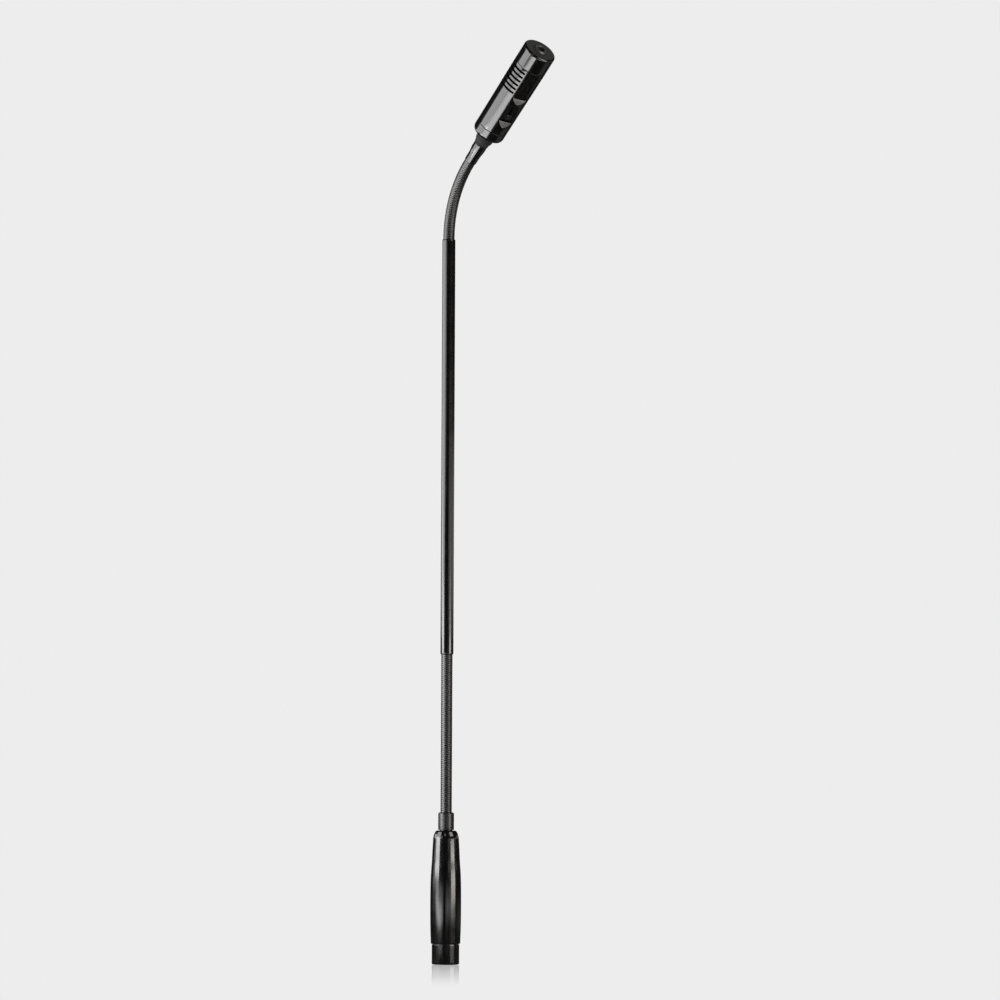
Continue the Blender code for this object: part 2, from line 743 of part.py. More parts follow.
def capsule(seat):
    """The electret capsule: its case, backplate and diaphragm, held by two rubber rings in the liner."""
    inner = CAPSULE_RADIUS - CAPSULE_WALL
    case = [
        (0, CAPSULE_LOW),
        (CAPSULE_RADIUS, CAPSULE_LOW),
        (CAPSULE_RADIUS, CAPSULE_HIGH),
        (CAPSULE_MOUTH, CAPSULE_HIGH),
        (CAPSULE_MOUTH, CAPSULE_HIGH - CAPSULE_WALL),
        (inner, CAPSULE_HIGH - CAPSULE_WALL),
        (inner, CAPSULE_LOW + CAPSULE_WALL),
        (0, CAPSULE_LOW + CAPSULE_WALL),
    ]
    turned("capsule_case", case, 28, "nickel", seat)
    film_high = CAPSULE_HIGH - CAPSULE_WALL - GAP
    film_low = film_high - 0.3
    plate_high = film_low - GAP
    rod("capsule_diaphragm", DISC_RADIUS, film_low, film_high, 24, "gold_film", seat)
    rod("capsule_backplate", DISC_RADIUS, plate_high - 1.2, plate_high, 24, "nickel", seat)
    bore = CAPSULE_RADIUS + GAP
    for number, low in enumerate(RING_HEIGHTS, 1):
        high = low + RING_THICKNESS
        tube(f"capsule_ring_{number}", bore, RING_OUTER, low, high, 28, "black_rubber", seat)
    tube("screen_liner", LINER_INNER, LINER_OUTER, LINER_LOW, LINER_HIGH, 40, "dark_mesh", seat)


def pattern_switch(seat):
    """The slide switch behind the pocket, its slider and the board that carries it."""
    low = (-SWITCH_HALF_WIDTH, -SWITCH_FACE, SWITCH_LOW)
    high = (SWITCH_HALF_WIDTH, -SWITCH_BACK, SWITCH_HIGH)
    body = box("pattern_switch_body", low, high, "black_plastic", seat)
    slot = bmesh.new()
    add_box(
        slot,
        (-SWITCH_SLOT_HALF_WIDTH, -SWITCH_FACE - 1, SLIDER_LOW - 0.5),
        (
            SWITCH_SLOT_HALF_WIDTH,
            -SWITCH_FACE + SWITCH_SLOT_DEPTH,
            SLIDER_LOW + SLIDER_LENGTH + SLIDER_TRAVEL + 0.5,
        ),
    )
    cut(body, "pattern_switch_slot", slot)
    axis = frame("slider_frame", seat, SLIDER_LOW)
    knob_low = -SWITCH_FACE - GAP
    stem_low = -SWITCH_FACE + SWITCH_SLOT_DEPTH - GAP
    section = [
        (-SLIDER_HALF_WIDTH, -SLIDER_TOP),
        (SLIDER_HALF_WIDTH, -SLIDER_TOP),
        (SLIDER_HALF_WIDTH, knob_low),
        (SLIDER_STEM_HALF_WIDTH, knob_low),
        (SLIDER_STEM_HALF_WIDTH, stem_low),
        (-SLIDER_STEM_HALF_WIDTH, stem_low),
        (-SLIDER_STEM_HALF_WIDTH, knob_low),
        (-SLIDER_HALF_WIDTH, knob_low),
    ]
    bm = bmesh.new()
    face = bm.faces.new([bm.verts.new((x, y, 0)) for x, y in section])
    grown = bmesh.ops.extrude_face_region(bm, geom=[face])
    top = [item for item in grown["geom"] if isinstance(item, bmesh.types.BMVert)]
    bmesh.ops.translate(bm, vec=(0, 0, SLIDER_LENGTH), verts=top)
    add_piece("pattern_slider", bm, "black_plastic", axis, smooth=False)
    board_back = -HEAD_BOARD_FACE + HEAD_BOARD_THICKNESS
    box(
        "pattern_board",
        (-HEAD_BOARD_HALF_WIDTH, -HEAD_BOARD_FACE, HEAD_BOARD_LOW),
        (HEAD_BOARD_HALF_WIDTH, board_back, HEAD_BOARD_HIGH),
        "green_board",
        seat,
    )


def cables(base, seat):
    """The cable between the board and the lower neck, and the one between the upper neck and the head's
    board."""
    rod("base_cable", CABLE_RADIUS, BOARD_TOP + GAP, FERRULE_TOP, 10, "grey_cable", base)
    low = -NECK_END_TO_HEAD
    rod("head_cable", CABLE_RADIUS, low, HEAD_BOARD_LOW - 1, 10, "grey_cable", seat)


def main():
    clear_scene()
    base = frame("base_frame", None, 0)
    plug_shell(base)
    plug_insert(base)
    plug_pins(base)
    insert_lock_screw(base)
    barrel(base)
    preamp_board(base)
    neck_ferrule(base)
    stem_body = lower_neck(base)
    stem_end = stem(stem_body)
    head_body, neck_end = upper_neck(stem_body, stem_end)
    seat = frame("head_seat", head_body, neck_end + NECK_END_TO_HEAD, turn=HEAD_TURN)
    neck_boot(seat)
    shock_collar(seat)
    head_base_cap(seat)
    head_housing(seat)
    window_grille(seat)
    front_cap(seat)
    capsule(seat)
    pattern_switch(seat)
    cables(base, seat)


main()
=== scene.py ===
"""Looks of the gooseneck podium microphone: fine meshes, procedural materials, studio and camera.

Pieces are modelled in millimetres, in their own frames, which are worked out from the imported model's
nodes and joints, and placed in the row frame in metres. A row of (radius, height, rounding) corners is
an outline that is turned about the piece's axis.
"""

import json
from math import asin, ceil, cos, hypot, pi, radians, sin, sqrt, tan

import bmesh
import bpy
from mathutils import Matrix, Vector

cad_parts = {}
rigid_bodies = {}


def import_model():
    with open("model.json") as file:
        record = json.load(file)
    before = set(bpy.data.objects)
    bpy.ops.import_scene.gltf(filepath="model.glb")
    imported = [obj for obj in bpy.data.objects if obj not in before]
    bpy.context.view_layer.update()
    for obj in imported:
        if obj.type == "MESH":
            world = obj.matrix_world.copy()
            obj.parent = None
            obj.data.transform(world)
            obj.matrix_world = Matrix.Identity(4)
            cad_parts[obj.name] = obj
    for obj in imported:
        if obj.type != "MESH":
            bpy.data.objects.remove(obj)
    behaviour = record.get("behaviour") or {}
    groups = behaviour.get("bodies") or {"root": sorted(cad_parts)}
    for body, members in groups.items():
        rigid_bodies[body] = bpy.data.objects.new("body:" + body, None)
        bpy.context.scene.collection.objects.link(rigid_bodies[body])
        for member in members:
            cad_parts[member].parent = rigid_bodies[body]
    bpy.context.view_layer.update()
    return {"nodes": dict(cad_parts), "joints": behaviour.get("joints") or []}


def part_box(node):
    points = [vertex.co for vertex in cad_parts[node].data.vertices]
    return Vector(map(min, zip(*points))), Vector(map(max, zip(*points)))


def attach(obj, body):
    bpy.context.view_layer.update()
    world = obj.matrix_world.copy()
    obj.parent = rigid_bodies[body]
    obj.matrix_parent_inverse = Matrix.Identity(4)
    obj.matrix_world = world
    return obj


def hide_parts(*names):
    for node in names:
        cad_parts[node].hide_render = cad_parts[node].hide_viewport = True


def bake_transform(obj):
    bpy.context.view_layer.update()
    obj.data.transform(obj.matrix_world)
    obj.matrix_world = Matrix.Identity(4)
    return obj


MM = 0.001
TAU = 2 * pi

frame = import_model()
JOINTS = {joint["name"]: joint for joint in frame["joints"]}


# ---- places read from the frame


def joint_place(name):
    return Vector(JOINTS[name]["pos_m"])


def node_points(node):
    return [vertex.co.copy() for vertex in frame["nodes"][node].data.vertices]


def span(node, origin, axis):
    """Lowest and highest point of a node along an axis and its furthest distance from it, in mm."""
    along, away = [], []
    for point in node_points(node):
        height = (point - origin).dot(axis)
        along.append(height / MM)
        away.append((point - origin - axis * height).length / MM)
    return min(along), max(along), max(away)


UP = Vector((0, 0, 1))
ORIGIN = Vector((0, 0, 0))


def upright(node):
    return span(node, ORIGIN, UP)


HEAD_AXIS = Vector(JOINTS["pattern_select"]["axis"]).normalized()
HEAD_HINGE = joint_place("upper_side_4")
HEAD_BASE = HEAD_HINGE + HEAD_AXIS * span("head_base_cap", HEAD_HINGE, HEAD_AXIS)[0] * MM


def head_matrix():
    """Millimetres in the head's own frame to the row frame: +Z along the head, -Y out of its window."""
    points = node_points("pattern_slider")
    middle = sum(points, Vector()) / len(points) - HEAD_BASE
    outwards = (middle - HEAD_AXIS * middle.dot(HEAD_AXIS)).normalized()
    back = -outwards
    side = back.cross(HEAD_AXIS)
    turn = Matrix((side, back, HEAD_AXIS)).transposed().to_4x4()
    return Matrix.Translation(HEAD_BASE) @ turn @ Matrix.Scale(MM, 4)


HEAD = head_matrix()
ROW = Matrix.Scale(MM, 4)


def along_head(node):
    return span(node, HEAD_BASE, HEAD_AXIS)


# ---- materials

BANDS_PER_METRE = 3.2  # of a wave texture whose scale is 1


class Nodes:
    """A node tree, with short calls for what both the materials and the world need."""

    def __init__(self, tree):
        self.nodes = tree.nodes
        self.links = tree.links

    def node(self, kind, **settings):
        made = self.nodes.new(kind)
        for name, value in settings.items():
            setattr(made, name, value)
        return made

    def math(self, operation, first, second):
        made = self.node("ShaderNodeMath", operation=operation)
        for socket, value in zip(made.inputs, (first, second)):
            if isinstance(value, (int, float)):
                socket.default_value = value
            else:
                self.links.new(value, socket)
        return made.outputs[0]

    def ramp(self, factor, low, high, low_value=0.0, high_value=1.0):
        """low_value where factor is under low, high_value over high, and a straight line between."""
        made = self.node("ShaderNodeMapRange")
        ends = ("From Min", "From Max", "To Min", "To Max")
        for name, value in zip(ends, (low, high, low_value, high_value)):
            made.inputs[name].default_value = value
        self.links.new(factor, made.inputs["Value"])
        return made.outputs["Result"]

    def mix_shaders(self, factor, first, second, output):
        mixed = self.node("ShaderNodeMixShader")
        for socket, source in zip(mixed.inputs, (factor, first, second)):
            self.links.new(source, socket)
        self.links.new(mixed.outputs["Shader"], self.nodes[output].inputs["Surface"])


class Tree(Nodes):
    """A material's nodes around one Principled BSDF."""

    def __init__(self, name):
        self.material = bpy.data.materials.new(name)
        self.material.use_nodes = True
        super().__init__(self.material.node_tree)
        self.shader = self.nodes["Principled BSDF"]
        self.place = self.nodes.new("ShaderNodeTexCoord").outputs["Object"]

    def set(self, **values):
        """Constant values on the shader's own sockets."""
        for name, value in values.items():
            self.shader.inputs[name.replace("_", " ")].default_value = value

    def link(self, output, name):
        self.links.new(output, self.shader.inputs[name])

    def stretched(self, x, y, z):
        """The place scaled along each axis, for a grain that runs one way."""
        mapping = self.node("ShaderNodeMapping")
        mapping.inputs["Scale"].default_value = (x, y, z)
        self.links.new(self.place, mapping.inputs["Vector"])
        return mapping.outputs["Vector"]

    def texture(self, kind, size_mm, place=None, **inputs):
        """The outputs of a texture whose features are about size_mm across."""
        made = self.node(kind)
        made.inputs["Scale"].default_value = 1 / (size_mm * MM)
        for name, value in inputs.items():
            made.inputs[name].default_value = value
        self.links.new(place or self.place, made.inputs["Vector"])
        return made.outputs

    def noise(self, size_mm, detail=3.0, roughness=0.55, place=None):
        """A noise between 0 and 1."""
        made = self.texture("ShaderNodeTexNoise", size_mm, place, Detail=detail, Roughness=roughness)
        return made["Fac"]

    def cells(self, size_mm):
        """The distance to the middle of a cell."""
        return self.texture("ShaderNodeTexVoronoi", size_mm)["Distance"]

    def waves(self, size_mm, direction, distortion=0.0):
        """Even bands, size_mm apart, across a direction."""
        made = self.node("ShaderNodeTexWave", bands_direction=direction)
        made.inputs["Scale"].default_value = 1 / (size_mm * MM) / BANDS_PER_METRE
        made.inputs["Distortion"].default_value = distortion
        self.links.new(self.place, made.inputs["Vector"])
        return made.outputs["Fac"]

    def attribute(self, name):
        return self.node("ShaderNodeAttribute", attribute_name=name).outputs["Fac"]

    def mix(self, factor, first, second):
        """Mixes two colours, each a tuple or an output."""
        made = self.node("ShaderNodeMix", data_type="RGBA")
        self.links.new(factor, made.inputs["Factor"])
        for name, value in (("A", first), ("B", second)):
            socket = [s for s in made.inputs if s.name == name and s.type == "RGBA"][0]
            if isinstance(value, tuple):
                socket.default_value = (*value, 1.0)
            else:
                self.links.new(value, socket)
        return [s for s in made.outputs if s.type == "RGBA"][0]

    def bump(self, height, depth_mm, strength=1.0, below=None):
        """A bump of the given depth on top of an earlier one."""
        made = self.node("ShaderNodeBump")
        made.inputs["Strength"].default_value = strength
        made.inputs["Distance"].default_value = depth_mm * MM
        self.links.new(height, made.inputs["Height"])
        if below is not None:
            self.links.new(below, made.inputs["Normal"])
        return made.outputs["Normal"]


def coating(name, dark, light, roughness, grain_mm=0.22, grain_depth=0.002, ior=1.8):
    """A satin black coating: a fine grain, cloudy gloss, faint handling marks and worn edges."""
    tree = Tree(name)
    clouds = tree.noise(9.0, detail=4)
    grain = tree.noise(grain_mm, detail=2)
    colour = tree.mix(tree.ramp(clouds, 0.35, 0.65), dark, light)
    chipped = tree.ramp(tree.noise(0.9, detail=5), 0.46, 0.66)
    worn = tree.math("MULTIPLY", tree.attribute("wear"), chipped)
    colour = tree.mix(tree.math("MULTIPLY", worn, 0.4), colour, (0.045, 0.041, 0.037))
    tree.link(colour, "Base Color")
    marks = tree.noise(1.4, detail=4, place=tree.stretched(1, 1, 0.08))
    gloss = tree.math("ADD", tree.ramp(clouds, 0.3, 0.7, roughness - 0.025, roughness + 0.025),
                      tree.ramp(marks, 0.45, 0.75, -0.01, 0.03))
    gloss = tree.math("ADD", gloss, tree.ramp(grain, 0.3, 0.7, -0.015, 0.015))
    tree.link(gloss, "Roughness")
    tree.link(tree.bump(grain, grain_depth, 1.0, tree.bump(clouds, 0.02, 0.3)), "Normal")
    tree.set(IOR=ior)
    return tree.material


def wound_wire(name):
    """Blackened wire: drawn along its turns, with painted shade darkening its grooves, and rubbed bright
    on its crowns.
    """
    tree = Tree(name)
    crown = tree.attribute("crown")
    cloud = tree.noise(6.0, detail=4)
    fine = tree.noise(0.12, detail=2)
    metal = tree.mix(tree.ramp(cloud, 0.35, 0.65), (0.0034, 0.0024, 0.0018), (0.0066, 0.0048, 0.0037))
    rubbed = tree.math("MULTIPLY", tree.ramp(crown, 0.75, 1.0), tree.ramp(cloud, 0.4, 0.7, 0.2, 0.8))
    colour = tree.mix(rubbed, metal, (0.010, 0.0072, 0.0056))
    # Painted shade: the grooves between the turns are darkened in the base colour.
    groove = tree.ramp(crown, 0.0, 0.5, 0.75, 0.0)
    tree.link(tree.mix(groove, colour, (0.002, 0.0018, 0.0016)), "Base Color")
    gloss = tree.ramp(crown, 0.0, 1.0, 0.42, 0.24)
    tree.link(tree.math("ADD", gloss, tree.ramp(fine, 0.3, 0.7, -0.04, 0.04)), "Roughness")
    tree.link(tree.bump(fine, 0.002), "Normal")
    tree.set(IOR=1.8)
    return tree.material


def rubber(name):
    """Moulded rubber with a matt skin, a little bloom and a fine stipple."""
    tree = Tree(name)
    bloom = tree.noise(3.0, detail=5)
    stipple = tree.noise(0.3, detail=3, roughness=0.7)
    colour = tree.mix(tree.ramp(bloom, 0.4, 0.7), (0.0022, 0.0021, 0.0020), (0.0052, 0.0050, 0.0048))
    tree.link(colour, "Base Color")
    tree.link(tree.ramp(stipple, 0.3, 0.7, 0.62, 0.8), "Roughness")
    tree.link(tree.bump(stipple, 0.012, 1.0, tree.bump(bloom, 0.03, 0.6)), "Normal")
    tree.set(IOR=1.5, Sheen_Weight=0.15, Sheen_Roughness=0.5)
    return tree.material


def plastic(name, dark, light, roughness):
    """Moulded plastic with a spark-eroded texture and faint flow marks."""
    tree = Tree(name)
    erosion = tree.noise(0.18, detail=4, roughness=0.7)
    flow = tree.noise(4.0, detail=3, place=tree.stretched(1, 1, 0.3))
    tree.link(tree.mix(flow, dark, light), "Base Color")
    tree.link(tree.ramp(erosion, 0.3, 0.7, roughness - 0.08, roughness + 0.1), "Roughness")
    tree.link(tree.bump(erosion, 0.01), "Normal")
    tree.set(IOR=1.49)
    return tree.material


def plated(name, dark, light, roughness=0.22):
    """Turned and plated metal: tool rings, small scratches and slightly dulled patches."""
    tree = Tree(name)
    tarnish = tree.noise(2.5, detail=5)
    rings = tree.noise(0.35, detail=2, place=tree.stretched(0.05, 0.05, 1))
    tree.link(tree.mix(tree.ramp(tarnish, 0.4, 0.75), light, dark), "Base Color")
    tree.link(tree.math("ADD", tree.ramp(tarnish, 0.35, 0.75, roughness - 0.05, roughness + 0.15),
                        tree.ramp(rings, 0.3, 0.7, -0.04, 0.04)), "Roughness")
    tree.link(tree.bump(rings, 0.003), "Normal")
    tree.set(Metallic=1.0)
    return tree.material


def cloth(name):
    """Black acoustic cloth with a plain weave."""
    tree = Tree(name)
    warp = tree.waves(0.34, "X", 0.4)
    weft = tree.waves(0.34, "Z", 0.4)
    weave = tree.math("MULTIPLY", warp, weft)
    fluff = tree.noise(0.8, detail=4)
    raised = tree.math("MULTIPLY", weave, fluff)
    tree.link(tree.mix(raised, (0.006, 0.006, 0.006), (0.035, 0.034, 0.032)), "Base Color")
    tree.link(tree.ramp(fluff, 0.3, 0.7, 0.8, 0.95), "Roughness")
    tree.link(tree.bump(weave, 0.06), "Normal")
    tree.set(Sheen_Weight=0.3, Sheen_Roughness=0.6)
    return tree.material


def foam(name):
    """Open-cell foam, with painted shade darkening its pores."""
    tree = Tree(name)
    pores = tree.cells(0.5)
    # Painted shade: the colour darkens towards the middle of each pore.
    colour = tree.mix(tree.ramp(pores, 0.1, 0.6), (0.008, 0.008, 0.008), (0.05, 0.05, 0.05))
    tree.link(colour, "Base Color")
    tree.link(tree.ramp(pores, 0.0, 0.7, 0.95, 0.85), "Roughness")
    tree.link(tree.bump(pores, 0.25), "Normal")
    return tree.material


def circuit_board(name):
    """Green solder mask over copper tracks, with a faint glass weave."""
    tree = Tree(name)
    weave = tree.math("MULTIPLY", tree.waves(0.5, "X"), tree.waves(0.5, "Z"))
    cell = tree.node("ShaderNodeTexBrick", offset=0.5)
    cell.inputs["Scale"].default_value = 260
    cell.inputs["Mortar Size"].default_value = 0.06
    tree.links.new(tree.place, cell.inputs["Vector"])
    tracks = cell.outputs["Fac"]
    mask = tree.mix(tree.ramp(weave, 0.2, 0.9), (0.012, 0.075, 0.028), (0.018, 0.10, 0.04))
    tree.link(tree.mix(tracks, mask, (0.03, 0.19, 0.07)), "Base Color")
    tree.link(tree.ramp(weave, 0.0, 1.0, 0.3, 0.45), "Roughness")
    tree.link(tree.bump(tracks, 0.035, 1.0, tree.bump(weave, 0.01)), "Normal")
    tree.set(Coat_Weight=0.3, Coat_Roughness=0.2)
    return tree.material


def sleeve_print(name, dark, light):
    """A shrunk plastic sleeve with a lighter stripe down one side, as on a capacitor."""
    tree = Tree(name)
    stripe = tree.ramp(tree.waves(9.0, "X"), 0.86, 0.9)
    wrinkle = tree.noise(1.5, detail=3)
    tree.link(tree.mix(stripe, dark, light), "Base Color")
    tree.link(tree.ramp(wrinkle, 0.3, 0.7, 0.28, 0.4), "Roughness")
    tree.link(tree.bump(wrinkle, 0.03), "Normal")
    return tree.material


def gold_film(name):
    """The sputtered film of the diaphragm, with its faint radial tension lines."""
    tree = Tree(name)
    tension = tree.noise(1.2, detail=3)
    tree.link(tree.mix(tension, (0.72, 0.50, 0.20), (0.86, 0.66, 0.32)), "Base Color")
    tree.link(tree.ramp(tension, 0.3, 0.7, 0.14, 0.26), "Roughness")
    tree.link(tree.bump(tension, 0.01), "Normal")
    tree.set(Metallic=1.0)
    return tree.material


BLACK = {"dark": (0.0013, 0.0009, 0.0008), "light": (0.0026, 0.0020, 0.0018)}
COAT = coating("satin_coat", roughness=0.15, **BLACK)
STEM_COAT = coating("stem_enamel", roughness=0.15, grain_mm=0.5, **BLACK)
FERRULE_COAT = coating("ferrule_anodising", roughness=0.33, **BLACK)
FACE_COAT = coating(
    "face_coat", (0.004, 0.0038, 0.0036), (0.008, 0.0076, 0.0072), 0.42, grain_depth=0.004
)
# Painted highlight: the sound port's ring is coloured much lighter than the black coating to stand in
# for the light its bevel catches.
RING_HIGHLIGHT_COAT = coating("ring_painted_highlight", (0.050, 0.048, 0.046), (0.076, 0.073, 0.070), 0.36)
# Painted highlight: the head's ramps are coloured light grey to stand in for the light they catch.
RAMP_HIGHLIGHT_COAT = coating("ramp_painted_highlight", (0.150, 0.147, 0.142), (0.220, 0.216, 0.210), 0.32)
CUT_COAT = coating("cut_edge_coat", (0.0012, 0.0011, 0.0010), (0.0026, 0.0024, 0.0022), 0.6, ior=1.3)
WOUND = wound_wire("wound_hose")
RUBBER = rubber("matt_rubber")
PLASTIC = plastic("black_plastic", (0.0014, 0.0014, 0.0014), (0.0032, 0.0032, 0.0031), 0.38)
NICKEL = plated("nickel_plate", (0.42, 0.39, 0.34), (0.66, 0.63, 0.57))
ALUMINIUM = plated("drawn_aluminium", (0.48, 0.48, 0.47), (0.72, 0.72, 0.71), 0.35)
MESH_WIRE = plated("blackened_wire", (0.005, 0.0045, 0.004), (0.018, 0.017, 0.015), 0.4)
STEEL_WIRE = plated("steel_wire", (0.50, 0.49, 0.47), (0.70, 0.69, 0.67), 0.45)
SCREEN = cloth("acoustic_cloth")
FOAM = foam("open_cell_foam")
BOARD = circuit_board("solder_mask")
BLUE = sleeve_print("blue_sleeve", (0.02, 0.04, 0.16), (0.55, 0.58, 0.62))
OCHRE = plastic("dipped_ochre", (0.34, 0.15, 0.03), (0.50, 0.25, 0.06), 0.3)
FILM = gold_film("gold_film")
JACKET = plastic("cable_jacket", (0.07, 0.07, 0.07), (0.12, 0.12, 0.12), 0.55)


# ---- mesh tools


def rounded(corners, closed, steps=5):
    """An outline with its corners rounded, as (radius, height, wear) points. A corner's rounding is how
    far from it the round starts. Wear is 1 in the middle of an outer round, where a coating rubs off."""
    count = len(corners)
    flat = [Vector(corner[:2]) for corner in corners]
    area = sum(a.x * b.y - b.x * a.y for a, b in zip(flat, flat[1:] + flat[:1]))
    points = []
    for number, corner in enumerate(corners):
        here = flat[number]
        rounding = corner[2]
        if rounding == 0 or (not closed and number in (0, count - 1)):
            points.append((here.x, here.y, 0.0))
            continue
        back = flat[number - 1] - here
        ahead = flat[(number + 1) % count] - here
        reach = min(rounding, back.length * 0.45, ahead.length * 0.45)
        start = here + back.normalized() * reach
        end = here + ahead.normalized() * reach
        outer = (-back).cross(ahead) * area > 0
        points.append((*(start + back * 0.05), 0.0))
        for step in range(steps + 1):
            t = step / steps
            point = start * (1 - t) ** 2 + here * (2 * t * (1 - t)) + end * t**2
            points.append((point.x, point.y, sin(pi * t) if outer else 0.0))
        points.append((*(end + ahead * 0.05), 0.0))
    return points


def spin(bm, points, sides):
    """Turns (radius, height, wear) points about Z. The outline is closed if it starts off the axis."""
    wear = bm.verts.layers.float.get("wear") or bm.verts.layers.float.new("wear")
    rings = []
    for radius, height, rub in points:
        around = 1 if radius < 1e-6 else sides
        ring = []
        for side in range(around):
            angle = TAU * side / sides
            vertex = bm.verts.new((radius * cos(angle), radius * sin(angle), height))
            vertex[wear] = rub
            ring.append(vertex)
        rings.append(ring * (sides // around))
    pairs = list(zip(rings, rings[1:]))
    if points[0][0] > 1e-6:
        pairs.append((rings[-1], rings[0]))
    for low, high in pairs:
        for side in range(sides):
            after = (side + 1) % sides
            corners = list(dict.fromkeys((low[side], low[after], high[after], high[side])))
            if len(corners) > 2:
                bm.faces.new(corners)


def strip(bm, first, second):
    """A row of faces between two lines of vertices."""
    for corners in zip(first, first[1:], second[1:], second):
        bm.faces.new(corners)


def skin(bm, rings):
    """Joins rings of vertices into a tube with closed ends."""
    for first, second in zip(rings, rings[1:]):
        strip(bm, [*first, first[0]], [*second, second[0]])
    bm.faces.new(rings[0])
    bm.faces.new(rings[-1])


def finish_mesh(name, bm, materials, matrix=None, sharp=38):
    """An object from a mesh, placed by the matrix, with its faces out and shaded smooth."""
    bm.transform(matrix or Matrix.Identity(4))
    bmesh.ops.recalc_face_normals(bm, faces=bm.faces)
    mesh = bpy.data.meshes.new(name)
    bm.to_mesh(mesh)
    bm.free()
    for material in materials:
        mesh.materials.append(material)
    mesh.shade_smooth()
    mesh.set_sharp_from_angle(angle=radians(sharp))
    thing = bpy.data.objects.new(name, mesh)
    bpy.context.collection.objects.link(thing)
    return thing


def seat(thing, body, slot, *nodes):
    """Puts a piece on its body, in place of its CAD nodes. The slot argument is not used."""
    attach(thing, body)
    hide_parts(*nodes)


def turned(name, corners, sides, material, matrix=None):
    """A solid turned from its outline's corners. The outline is open if it starts on the axis."""
    bm = bmesh.new()
    spin(bm, rounded(corners, corners[0][0] > 0), sides)
    return finish_mesh(name, bm, [material], matrix)


def carve(thing, cutters, matrix):
    """Cuts other objects out of one, keeps the result as its mesh, removes them and places the piece."""
    for cutter in cutters:
        modifier = thing.modifiers.new(cutter.name, "BOOLEAN")
        modifier.operation = "DIFFERENCE"
        modifier.solver = "EXACT"
        modifier.material_mode = "TRANSFER"
        modifier.object = cutter
    view = bpy.context.evaluated_depsgraph_get()
    mesh = bpy.data.meshes.new_from_object(thing.evaluated_get(view))
    thing.modifiers.clear()
    thing.data = mesh
    for cutter in cutters:
        bpy.data.objects.remove(cutter, do_unlink=True)
    mesh.transform(matrix)
    mesh.shade_smooth()
    mesh.set_sharp_from_angle(angle=radians(30))


def wire(bm, path, normals, radius, sides=6):
    """A capped wire along a path. A normal is any direction across the wire at that point."""
    rings = []
    for number, (centre, normal) in enumerate(zip(path, normals)):
        ahead = path[min(number + 1, len(path) - 1)] - path[max(number - 1, 0)]
        across = ahead.cross(normal).normalized()
        lift = across.cross(ahead).normalized()
        ring = []
        for side in range(sides):
            angle = TAU * side / sides
            out = lift * cos(angle) + across * sin(angle)
            ring.append(bm.verts.new(centre + out * radius))
        rings.append(ring)
    skin(bm, rings)


def add_block(bm, low, high, bevel=0.0, segments=2):
    """A box with bevelled edges."""
    size = [b - a for a, b in zip(low, high)]
    middle = [(a + b) / 2 for a, b in zip(low, high)]
    matrix = Matrix.Translation(middle) @ Matrix.Diagonal((*size, 1))
    made = bmesh.ops.create_cube(bm, matrix=matrix)
    if bevel:
        edges = list({edge for vertex in made["verts"] for edge in vertex.link_edges})
        bmesh.ops.bevel(bm, geom=edges, offset=bevel, segments=segments, profile=0.6, affect="EDGES")


def smooth_line(points):
    """A smooth line through (radius, height) points, with six stretches between two of them."""
    steps = 6
    ends = [points[0], *points, points[-1]]
    line = []
    for four in zip(ends, ends[1:], ends[2:], ends[3:]):
        for step in range(steps):
            t = step / steps
            shares = (
                -t + 2 * t**2 - t**3,
                2 - 5 * t**2 + 3 * t**3,
                t + 4 * t**2 - 3 * t**3,
                t**3 - t**2,
            )
            line.append(tuple(sum(a * b for a, b in zip(shares, values)) / 2 for values in zip(*four)))
    line.append(points[-1])
    return line


# ---- plug and barrel

BARREL_CURVE = (  # outer radius and height of the barrel's tapered side
    (10.28, 17.0), (10.36, 19.3), (10.58, 27.0), (10.68, 36.0), (10.68, 46.0),
    (10.55, 56.0), (10.25, 63.5), (9.72, 71.0), (9.38, 78.0), (9.0, 85.0),
    (8.8, 87.4), (8.3, 89.4), (7.5, 91.3),
)
BORE_STEP = 24.3
BORE_WIDE = 8.9
BORE = 7.9
BORE_TOP = 81.0
SPIGOT_HOLE = 4.5
SCREW_SEAT = 7.0  # how far from the axis the lock screw's hole starts


def screw_cutter(length):
    """A rod along +Y for the lock screw's hole."""
    low, high, _ = upright("insert_lock_screw")
    middle = Matrix.Translation((0, SCREW_SEAT + length / 2, (low + high) / 2))
    bm = bmesh.new()
    bmesh.ops.create_cone(bm, cap_ends=True, segments=40, radius1=1.55, radius2=1.55, depth=length,
                          matrix=middle @ Matrix.Rotation(pi / 2, 4, "X"))
    return finish_mesh("screw_cutter", bm, [CUT_COAT])


def barrel():
    low, high, _ = upright("barrel")
    side = [(radius, height, 0.0) for radius, height in smooth_line(BARREL_CURVE)]
    first, last = (*BARREL_CURVE[0], 0), (*BARREL_CURVE[-1], 0)
    foot = [(BORE_WIDE, low, 0.15), (9.75, low, 0.15), (10.2, low + 0.55, 0.35), first]
    top = [last, (6.6, high, 0.5), (SPIGOT_HOLE, high, 0)]
    bore = [
        (SPIGOT_HOLE, BORE_TOP, 0.0), (BORE, BORE_TOP, 0.0), (BORE, BORE_STEP, 0.0),
        (BORE_WIDE, BORE_STEP, 0.0),
    ]
    bm = bmesh.new()
    spin(bm, [*rounded(foot, False)[:-1], *side, *rounded(top, False)[1:], *bore], 128)
    body = finish_mesh("barrel_shell", bm, [COAT])
    carve(body, [screw_cutter(6.0)], ROW)
    seat(body, "base", "barrel_metal", "barrel")


